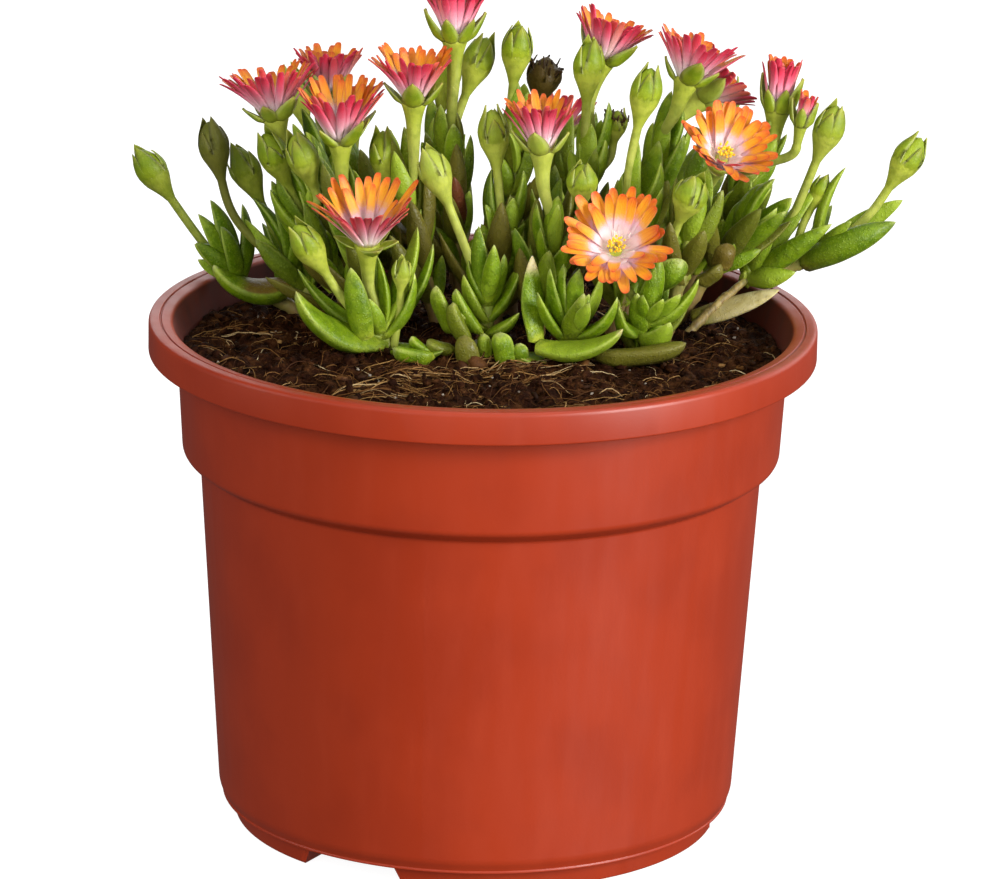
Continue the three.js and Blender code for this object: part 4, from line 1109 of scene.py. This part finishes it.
def paired_leaves(body, random, stem, shoot, index):
    """The pairs that stand along a stem, by the same rule as in the part, with a smaller pair
    between each two of them and young leaves in their axils."""
    pairs = shoot.get("pairs", 0)
    steps = max(0, 2 * pairs - 1)
    for step in range(steps):
        rise = step / (steps - 1) if steps > 1 else 0.5
        between = step % 2
        place = lerp(shoot.get("bare", LEAF_PAIRS_START), LEAF_PAIRS_END, rise)
        base, axis = place_and_way(stem, place)
        for half in (0, 1):
            number = (step // 2 + pairs * between) * 2 + half
            turn = shoot["turn"] + step * 45 + half * 180
            turn += LEAF_TURN_VARIATION * wobble(index, number, 1)
            lean = lerp(LEAF_LEAN_LOW, LEAF_LEAN_TOP, rise)
            lean += LEAF_LEAN_VARIATION * wobble(index, number, 2)
            length = shoot["length"] * (1 - LEAF_SHORTENING * rise) * (1 - 0.12 * between)
            length *= 1 + LEAF_LENGTH_VARIATION * wobble(index, number, 3)
            angle = math.radians(max(lean, LEAF_LEAN_LEAST))
            out = outward(math.radians(turn), axis)
            tip = base + axis * math.cos(angle) * length + out * math.sin(angle) * length
            tip[2] = max(tip[2], soil_height(tip[0], tip[1]) + LEAF_SOIL_CLEARANCE)
            age = max(0, 0.75 * (1 - rise) + shoot.get("old", 0) + random.normal(-0.12, 0.25))
            # tone lowers the tint of shoots that stand in shade: painted shade
            tint = np.clip(random.normal(0.5 + shoot.get("tone", 0), 0.22), 0, 1)
            leaf(body, random, base, tip, axis, LEAF_WIDTH * random.uniform(0.85, 1.1), age=age, tint=tint)
            if random.uniform() < AXIL_SHARE:
                axil_leaves(body, random, base, axis, out, length)


def given_leaves(body, random, curve, leaves, tone=0):
    """Leaves given by their tips. tone makes those without a tint of their own darker, as painted shade on
    shoots that stand in shade.
    """
    for one in leaves:
        values = dict(one)
        base, axis = place_and_way(curve, values.pop("at"))
        values.setdefault("tint", np.clip(random.normal(0.5 + tone, 0.22), 0, 1))
        leaf(body, random, base, axis=axis, **values)


# Stems
def stem(body, random, curve, woody):
    """A jointed stem that swells a little where leaves leave it."""
    share = np.linspace(0, 1, STEM_RINGS)
    spine = bezier(curve, share)
    spine[1:-1] += random.normal(0, 0.1, (STEM_RINGS - 2, 3))
    knots = 1 + 0.16 * np.maximum(0, np.cos(share * 2 * np.pi * 3.2)) ** 4
    radii = STEM_RADIUS * lerp(1.2, 0.9, share) * knots * (1 - 0.38 * woody)
    sweep(body, spine, BACKWARD, radii, radii, round_section(12), along=share,
          age=woody * smooth(0.95, 0.75, share))


# Buds and calyces
def frame_along(axis):
    """Three unit vectors, of which the last is this axis."""
    axis = unit(axis)
    one = unit(np.cross(axis, BACKWARD if abs(axis[1]) < 0.9 else UP))
    return one, np.cross(axis, one), axis


# A blade's outline, in half widths and half thicknesses, and 1 where it is the inner side
BLADE_SECTION = np.array([(-1, 0, 0), (-.55, .62, 0), (0, 1, 0), (.55, .62, 0), (1, 0, 0),
                          (.94, 0, 1), (.5, -.25, 1), (0, -.4, 1), (-.5, -.25, 1), (-.94, 0, 1)])
# Heights in a bud as shares of its head, and radii there as shares of half its width, for its
# body and for the sepals that cover it
BUD_HEIGHTS = np.array([.04, .1, .17, .24, .31, .38, .45, .52, .6, .68, .76, .84, .91])
BUD_SWELL = np.array([.34, .41, .51, .63, .76, .89, .97, 1.0, .97, .89, .76, .57, .33])
COVER_HEIGHTS = [.36, .42, .48, .54, .62, .7, .78, .86, .94, 1.06]
COVER_SWELL = np.array([.78, .89, .955, .985, .965, .88, .755, .57, .39, .15])
RECEPTACLE_HEIGHTS = np.array([.8, 1.8, 2.8, 3.8, 4.8, 5.6, 6.3, 6.9, 7.2])
RECEPTACLE_SWELL = np.array([2.0, 2.15, 2.35, 2.6, 2.9, 3.2, 3.35, 3.2, 2.5])
BUD_SEPAL_TURNS = [0, 1.05, 2.1, 3.15, 4.75]
FLOWER_SEPAL_TURNS = [0, 1.1, 2.2, 3.2, 4.75]
LARGE_SEPALS = (0, 3)


def close_blade(body, rings, ends, **painted):
    """Closes a blade's rings, and paints which side is the inner one and how near a point is to
    the margin."""
    each = np.ones((len(rings), 1))
    close_rings(body, rings, ends, inner=BLADE_SECTION[:, 2] * each,
                rim=np.abs(BLADE_SECTION[:, 0]) * each, **painted)


def blade(body, origin, axes, turn, path, widths, thicks, cup, lean=0.0, **painted):
    """A thin closed leaf of a bud or flower. path gives its distance from the axis and its
    height, and cup is how far its margins bend towards the axis."""
    out, axis = around(axes, turn), axes[2]
    side = -axes[0] * math.sin(turn) + axes[1] * math.cos(turn)
    way = unit(np.gradient(path, axis=0))
    spine = origin + path[:, :1] * out + path[:, 1:2] * axis + side * (lean * path[:, 1:2])
    outside = way[:, 1:2] * out - way[:, 0:1] * axis
    across = BLADE_SECTION[:, 0] * widths[:, None]
    depth = BLADE_SECTION[:, 1] * thicks[:, None] - BLADE_SECTION[:, 0] ** 2 * cup[:, None]
    rings = spine[:, None] + across[..., None] * side + depth[..., None] * outside[:, None]
    ends = [spine[0], spine[-1] + (spine[-1] - spine[-2]) * 0.25]
    close_blade(body, rings, ends, **painted)


def wrapped_blade(body, origin, axes, turn, path, widths, thicks, **painted):
    """A thin closed leaf that lies round an axis. path gives its distance from the axis and its
    height, and widths are measured round the axis."""
    one, two, axis = axes
    angle = turn + BLADE_SECTION[:, 0] * (widths / np.maximum(path[:, 0], 1.0))[:, None]
    distance = path[:, :1] + BLADE_SECTION[:, 1] * thicks[:, None]
    out = np.cos(angle)[..., None] * one + np.sin(angle)[..., None] * two
    rings = origin + out * distance[..., None] + (path[:, 1:2] * axis)[:, None]
    middles = rings.mean(axis=1)
    ends = [middles[0], middles[-1] + (middles[-1] - middles[-2]) * 0.25]
    close_blade(body, rings, ends, **painted)


def neck_path(foot, via, origin, axis, pull=0.45):
    """The pedicel's way from inside its shoot to the neck of a head that looks along axis."""
    foot, via, origin = (np.asarray(point, float) for point in (foot, via, origin))
    pull = min(8.0, pull * np.linalg.norm(origin - foot))
    seen = bezier([foot, via, origin - axis * pull, origin], np.linspace(0, 1, 18))
    hidden = unit(seen[0] - seen[1] - UP * 0.4)
    return np.concatenate([foot + hidden * np.array([[1.0], [0.5]]) * STALK_HIDDEN_FOOT, seen])


def faded_petals(body, random, origin, axes, reach, width):
    """Dark shrivelled petals that stick out of the top of a faded flower."""
    for k in range(FADED_PETAL_COUNT):
        out = around(axes, k * GOLDEN_ANGLE)
        share = np.linspace(0, 1, 6)[:, None]
        leaning = random.uniform(0.05, 0.4)
        curl = random.normal(0, 0.8, (6, 3)) * share * 0.5
        spine = origin + axes[2] * reach * (0.45 + random.uniform(0.3, 0.5) * share)
        spine = spine + out * (width * 0.22 + leaning * width * share) + curl
        radii = random.uniform(0.45, 0.8) * np.array([0.8, 1, 1.1, 1, 0.9, 0.6])
        sweep(body, spine, axes[0], radii, radii * 0.6, round_section(6), along=1, age=WITHERED)


def bud(body, random, foot, via, tip, head=BUD_HEAD, width=BUD_WIDTH, age=0.0, slender=0, painted_light_tint=None,
        faded=0):
    """A closed bud on its pedicel: a funnel, a shoulder and five unequal leaf-like sepals."""
    axis = unit(np.subtract(tip, via))
    origin = tip - axis * head
    neck = neck_path(foot, via, origin, axis)
    spine = np.concatenate([neck, origin + axis * (BUD_HEIGHTS * head)[:, None]])
    slim = PEDICEL_RADIUS * (0.75 + 0.25 * min(1, width / 8))
    radii = np.concatenate([np.full(len(neck), slim), np.maximum(BUD_SWELL * width / 2, slim)])
    radii[-2:] = BUD_SWELL[-2:] * width / 2
    along = np.concatenate([np.linspace(0, 0.42, len(neck)), 0.42 + BUD_HEIGHTS * 0.4])
    # A tint given in SHOOTS is low for buds on the shaded left side and high for the lit bud at the front:
    # painted shade and painted light
    tint = random.uniform(0.3, 0.8) if painted_light_tint is None else painted_light_tint
    ages = np.concatenate([np.linspace(age * 0.6, age, len(neck)), np.full(len(BUD_HEIGHTS), age)])
    sweep(body, spine, BACKWARD, radii, radii, round_section(14), along=along, tint=tint, age=ages)
    axes = frame_along(axis)
    if faded:
        faded_petals(body, random, origin, axes, head, width)
    bud_sepals(body, random, origin, axes, head, width, slender, faded, tint=tint, age=age)


def bud_sepals(body, random, origin, axes, head, width, slender, faded, **painted):
    """Two large and three small sepals that lie round a bud, and stand off it where it faded."""
    start = random.uniform(0, 2 * math.pi)
    shares = np.linspace(0, 1, 12)
    for k, place in enumerate(BUD_SEPAL_TURNS):
        large = k in LARGE_SEPALS
        reach = head * (random.uniform(0.98, 1.06) if large else random.uniform(0.78, 0.95))
        if faded:
            reach *= random.uniform(0.7, 1.1)
        height = lerp(head * 0.4, reach, shares)
        cover = np.interp(height / head, COVER_HEIGHTS, COVER_SWELL * width / 2)
        loose = random.uniform(0.1, 1.2 if large else 0.6) * (0.6 if slender else 1)
        open_out = loose * shares ** 4 + (random.uniform(0.1, 1.1) * shares ** 2 if faded else 0)
        path = np.stack([cover + 0.03 * k * smooth(0, 0.3, shares) + open_out, height], axis=1)
        breadth = width * (0.47 if large else 0.36) * (1 - 0.25 * faded)
        half = breadth * lerp(0.8, 1.0, smooth(0, 0.25, shares)) * (1 - shares ** 1.7) ** 0.9 + 0.1
        thick = lerp(0.02, 0.5 if large else 0.4, smooth(0, 0.6, shares)) * (1 - 0.3 * shares)
        wrapped_blade(body, origin, axes, start + place + random.normal(0, 0.08), path, half, thick,
                      along=0.58 + 0.42 * shares, **painted)


def flower_scale(flower):
    return CLOSED_FLOWER_ROOT if flower["length"] <= CLOSED_FLOWER_LENGTH else 1.0


def flower_stalk(body, random, flower):
    """Pedicel and receptacle of a flower, with its sepals."""
    scale = flower_scale(flower)
    axis = unit(flower["facing"])
    origin = np.asarray(flower["base"], float) - axis * RECEPTACLE_LENGTH
    neck = neck_path(flower["foot"], flower["via"], origin, axis, flower.get("pull", 0.45))
    spine = np.concatenate([neck, origin + axis * RECEPTACLE_HEIGHTS[:, None]])
    top_radius = 1.9 * min(1, scale * 1.2)
    rise = np.linspace(0, 1, len(neck)) ** 2.2
    radii = np.concatenate([lerp(PEDICEL_RADIUS, top_radius, rise),
                            np.maximum(RECEPTACLE_SWELL * scale, 1.0)])
    cup_share = RECEPTACLE_HEIGHTS / RECEPTACLE_HEIGHTS[-1]
    along = np.concatenate([np.linspace(0, 0.42, len(neck)), 0.42 + cup_share * 0.12])
    tint = random.uniform(0.3, 1.0)
    sweep(body, spine, BACKWARD, radii, radii, round_section(14), along=along, tint=tint)
    flower_sepals(body, random, flower, origin, tint)


def flower_sepals(body, random, flower, origin, tint):
    """Two large and three small sepals that hug the petals."""
    scale = flower_scale(flower)
    axes = frame_along(unit(flower["facing"]))
    start = random.uniform(0, 2 * math.pi)
    shares = np.linspace(0, 1, 11)
    for k, place in enumerate(FLOWER_SEPAL_TURNS):
        large = k in LARGE_SEPALS
        reach = (random.uniform(8.5, 10.5) if large else random.uniform(6, 8)) * (0.6 + 0.4 * scale)
        opening = flower["spread"] + flower.get("hug", SEPAL_HUG) + random.uniform(-2, 5)
        lean = math.radians(min(opening, 80)) + 0.25 * (1 - shares) ** 2
        lean = lean - random.uniform(0.0, 0.25) * shares ** 2
        path = leaning_path((2.9 * scale, 5.9), lean[1:], reach / 10)
        breadth = (2.9 if large else 2.3) * (0.3 + 0.7 * scale)
        half = breadth * lerp(0.85, 1.0, smooth(0, 0.3, shares)) * (1 - shares ** 2.6) ** 0.8 + 0.12
        thick = lerp(0.4, 1.25 if large else 0.9, smooth(0, 0.3, shares)) * (1 - 0.5 * shares)
        blade(body, origin, axes, start + place + random.normal(0, 0.1), path, half, thick,
              half ** 2 * 0.13, along=0.58 + 0.42 * shares, tint=tint)


# Petals and stamens
# A petal's half width along its length, as a share of the widest
PETAL_SHARES = np.array([0, .12, .26, .42, .58, .74, .87, .96, 1.0])
PETAL_OUTLINE = np.array([.68, .76, .86, .95, 1.0, .97, .87, .7, .45])
# Whorls of petals from the outermost: how many, share of the length, degrees added to the
# spread, and share of the radius that they leave from
WHORLS = [(17, 1.0, 1, 1.0), (17, 0.97, -2, 0.88), (7, 0.88, -7, 0.75)]
CLOSED_WHORLS = [(9, 1.0, 2, 1.0), (7, 0.92, -1, 0.7)]
ANTHER_PLACES = np.array([0, .3, .6, .8])
ANTHER_RADII = np.array([.16, .34, .32, .14])


def petals(body, random, flower):
    """Narrow strap petals that form an opening cup, in whorls that stand nearly alike."""
    scale = flower_scale(flower)
    axes = frame_along(flower["facing"])
    origin = np.asarray(flower["base"], float)
    whorls = flower.get("whorls", WHORLS) if scale == 1 else CLOSED_WHORLS
    start = random.uniform(0, 2 * math.pi)
    for row, (count, longness, extra, root) in enumerate(whorls):
        offset = start + row * math.pi / count
        for k in range(count):
            turn = offset + (k + random.normal(0, 0.12)) * 2 * math.pi / count
            reach = flower["length"] * longness * random.uniform(0.84, 1.05)
            spread = math.radians(max(flower["spread"] + extra + random.normal(0, 3.5), 1))
            curl = random.normal(0.12, 0.1) * scale
            lean = spread + curl * (PETAL_SHARES - 0.45) * 2
            steps = np.diff(PETAL_SHARES) * reach
            foot = PETAL_ROOT_RADIUS * 0.86 * scale * root
            path = leaning_path((foot, -0.5), (lean[1:] + lean[:-1]) / 2, steps)
            half = random.uniform(1.05, 1.45) * (0.45 + 0.55 * scale)
            half = half * (PETAL_OUTLINE * flower.get("broad", 1.0))
            half[-4:] *= random.uniform(0.78, 1.12) ** np.array([0.3, 0.7, 1.2, 2])
            thick = np.full(len(half), PETAL_HALF_THICKNESS)
            blade(body, origin, axes, turn, path, half, thick, half * 0.22,
                  lean=random.normal(0, 0.06), along=PETAL_SHARES, tint=random.uniform(0, 1))


def filament(body, origin, axes, turn, lean, reach, radius, tint, head, root=0.5, bend=0.5):
    """One thin stalk in the middle of a flower, with or without an anther at its end."""
    shares = np.linspace(0, 1, 5)
    lean = lean * (1.05 - bend + bend * shares)
    spine = origin + around(axes, turn) * (root + np.sin(lean) * reach * shares)[:, None]
    spine = spine + axes[2] * (np.cos(lean) * reach * shares)[:, None]
    radii = radius * (1 - 0.5 * shares)
    sweep(body, spine, axes[1], radii, radii, round_section(4), tint=tint)
    if head:
        way = unit(spine[-1] - spine[-2])
        places = spine[-1] + way * ANTHER_PLACES[:, None]
        sweep(body, places, axes[1], ANTHER_RADII, ANTHER_RADII, round_section(5), tint=head)


def turned_at(body, origin, axes, profile, sides, **painted):
    """A closed body of revolution round the last of three axes."""
    upright = Body()
    turned(upright, profile, sides)
    points = upright.points[0]
    placed = origin + points[:, :1] * axes[0] + points[:, 1:2] * axes[1] + points[:, 2:] * axes[2]
    body.add(placed, *ring_faces(len(profile) - 2, sides), **painted)


def stamens(body, random, flower):
    """White staminodes that fan out over the foot of the petals, and a tuft of yellow stamens."""
    axes = frame_along(flower["facing"])
    origin = np.asarray(flower["base"], float) - axes[2] * 0.2
    size = min(1.0, flower["length"] / 15)
    wide = math.radians(flower["spread"])
    root, end = PETAL_ROOT_RADIUS * 0.86, 3.8 * size
    slope = np.array([math.sin(wide), math.cos(wide)])
    inner = np.array([root - 0.75, 0.0])
    disc = [(0, 0.1), inner, inner + slope * end * 0.55, inner + slope * end,
            inner + slope * end + (0.2, -0.15), (root - 0.3, -0.6), (0, -1)]
    turned_at(body, origin, axes, np.array([[*point] for point in disc]), 40, tint=0.12)
    for k in range(STAMINODE_COUNT):
        filament(body, origin, axes, k * GOLDEN_ANGLE, wide + random.uniform(-0.08, 0.04),
                 random.uniform(3.4, 5.0) * size, 0.4, random.uniform(0, 0.22), 0, root - 0.8, 0.05)
    for k in range(STAMEN_COUNT):
        filament(body, origin, axes, k * GOLDEN_ANGLE + 1, random.uniform(0.02, 0.36),
                 random.uniform(3.4, 5.0) * size, 0.15, 0.4, random.uniform(0.5, 0.8))
    dome = np.array([(0, 0.8), (1.0, 0.7), (1.9, 0.2), (2.4, -0.6), (0, -0.7)])
    turned_at(body, origin, axes, dome, 14, tint=0.1)


# The plant
def make_shoot(index, shoot, looks):
    random = np.random.default_rng(100 + index)
    node = "shoot_" + shoot["name"]
    x, y = shoot["root"]
    curve = [(x, y, float(soil_height(x, y)) - ROOT_DEPTH), shoot["via"], shoot["top"]]
    woody = shoot.get("woody", 0)
    stems, leaves, buds = Body(), Body(), Body()
    stem(stems, random, curve, woody)
    paired_leaves(leaves, random, curve, shoot, index)
    given_leaves(leaves, random, curve, shoot.get("leaves", []), shoot.get("tone", 0))
    end_leaves(leaves, random, *place_and_way(curve, END_LEAVES_PLACE), shoot.get("length", 18))
    if "branch" in shoot:
        stem(stems, random, shoot["branch"], woody * 0.3)
        given_leaves(leaves, random, shoot["branch"], shoot["branch_leaves"])
    for one in shoot.get("low", []):
        leaf(leaves, random, **(dict(axis=UP, bow=0.04, plump=1.0, tint=0.5) | one))
    for one in shoot.get("buds", []):
        bud(buds, random, **one)
    stems.make(node + "_stem", looks["stem"], "leaf_flesh", node)
    leaves.make(node + "_leaves", looks["leaf"], "leaf_flesh", node)
    if buds.count:
        buds.make(node + "_buds", looks["stalk"], "flower_stalk", node)


def make_flower(index, flower, looks):
    random = np.random.default_rng(500 + index)
    node = "flower_" + flower["name"]
    carried_by = "flower_" + flower.get("stalk", flower["name"]) + "_stalk"
    stalk, cup = Body(), Body()
    flower_stalk(stalk, random, flower)
    petals(cup, random, flower)
    stalk.make(node + "_calyx", looks["stalk"], "flower_stalk", carried_by)
    cup.make(node + "_straps", looks["petal"], "petal", node + "_petals")
    if flower_scale(flower) == 1:
        middle = Body()
        stamens(middle, random, flower)
        middle.make(node + "_stamens", looks["centre"], "petal", node + "_petals")


# Camera, floor and lights, in metres and watts
FLOOR_WIDTH = 12.0
# Soft boxes: name, place, height on the axis that it looks at, size, power, and whether glossy
# surfaces mirror it
LIGHTS = [
    ("key", (1.4, -1.05, 0.63), 0.11, (0.6, 1.2), 46, True),
    ("left_softbox", (-1.1, -1.15, 0.7), 0.11, (0.5, 1.1), 9, False),
    ("left_strip", (-1.5, -0.3, 0.52), 0.11, (0.3, 1.0), 3.2, True),
    ("front_fill", (-0.4, -2.0, 1.1), 0.11, (1.6, 1.2), 14, False),
    ("low_fill", (0.1, -1.7, 0.18), 0.16, (1.6, 0.3), 6, False),
    ("top", (0.2, 0.1, 2.0), 0.11, (1.4, 1.4), 9, True),
    ("back_panel", (0.5, 1.9, 0.85), 0.11, (3.4, 1.0), 21, True),
    ("right_strip", (1.5, 0.75, 0.5), 0.11, (0.3, 1.0), 3, True),
]


def stand(name, data, right, top, back, place):
    """Puts a camera or a light in the scene, looking away from back. place is in metres."""
    thing = placed(name, data)
    matrix = np.eye(4)
    matrix[:3] = np.stack([right, top, back, place], axis=1)
    thing.matrix_world = Matrix(matrix.tolist())
    return thing


def make_camera():
    forward = np.array([math.sin(CAMERA_YAW) * math.cos(CAMERA_PITCH),
                        math.cos(CAMERA_YAW) * math.cos(CAMERA_PITCH), -math.sin(CAMERA_PITCH)])
    level = unit(np.cross(forward, UP))
    above = np.cross(level, forward)
    right = level * math.cos(CAMERA_ROLL) + above * math.sin(CAMERA_ROLL)
    top = above * math.cos(CAMERA_ROLL) - level * math.sin(CAMERA_ROLL)
    data = bpy.data.cameras.new("camera")
    data.sensor_width = SENSOR_WIDTH
    data.lens = CAMERA_FOCAL_PIXELS / PICTURE_WIDTH_PIXELS * SENSOR_WIDTH
    data.clip_end = 20
    place = np.array([0, -CAMERA_DISTANCE, CAMERA_HEIGHT]) * MM
    bpy.context.scene.camera = stand("camera", data, right, top, -forward, place)


def make_floor():
    half = FLOOR_WIDTH / 2
    mesh = bpy.data.meshes.new("floor")
    mesh.from_pydata([(-half, -half, 0), (half, -half, 0), (half, half, 0), (-half, half, 0)], [],
                     [(0, 1, 2, 3)])
    n = Nodes("white_floor")
    n.set(Base_Color="#9a9a9a", Roughness=1.0, Specular_IOR_Level=0.0, Emission_Color="#ffffff",
          Emission_Strength=0.93)
    mesh.materials.append(n.material)
    floor = placed("floor", mesh)
    floor.visible_glossy = False
    floor.visible_diffuse = False


def make_light(name, place, target_height, size, power, mirrored):
    """A soft box. One that isn't mirrored lights the object and leaves no gloss on it."""
    data = bpy.data.lights.new(name, "AREA")
    data.shape = "RECTANGLE"
    data.size, data.size_y = size
    data.energy = power
    back = unit(np.subtract(place, (0, 0, target_height)))
    side = unit(np.cross(UP, back))
    light = stand(name, data, side, np.cross(back, side), back, place)
    light.visible_camera = False
    light.visible_glossy = mirrored


def make_world():
    world = bpy.data.worlds.new("studio")
    world.use_nodes = True
    background = world.node_tree.nodes["Background"].inputs
    background["Color"].default_value = (1, 1, 1, 1)
    background["Strength"].default_value = 0.09
    bpy.context.scene.world = world
    bpy.context.scene.view_settings.view_transform = "Standard"
    bpy.context.scene.cycles.use_denoising = True


make_camera()
make_floor()
for light in LIGHTS:
    make_light(*light)
make_world()
make_pot(plastic_material())
peat_look = soil_material()
make_soil(peat_look)
make_crumbs(peat_look)
fibre_look = fibre_material()
make_fibres(fibre_look)
make_bits(fibre_look, grain_material())
looks = {"leaf": leaf_material(), "stem": stem_material(), "stalk": stalk_material(),
         "petal": petal_material(), "centre": centre_material()}
for index, shoot in enumerate(SHOOTS):
    make_shoot(index, shoot, looks)
for index, flower in enumerate(FLOWERS):
    make_flower(index, flower, looks)
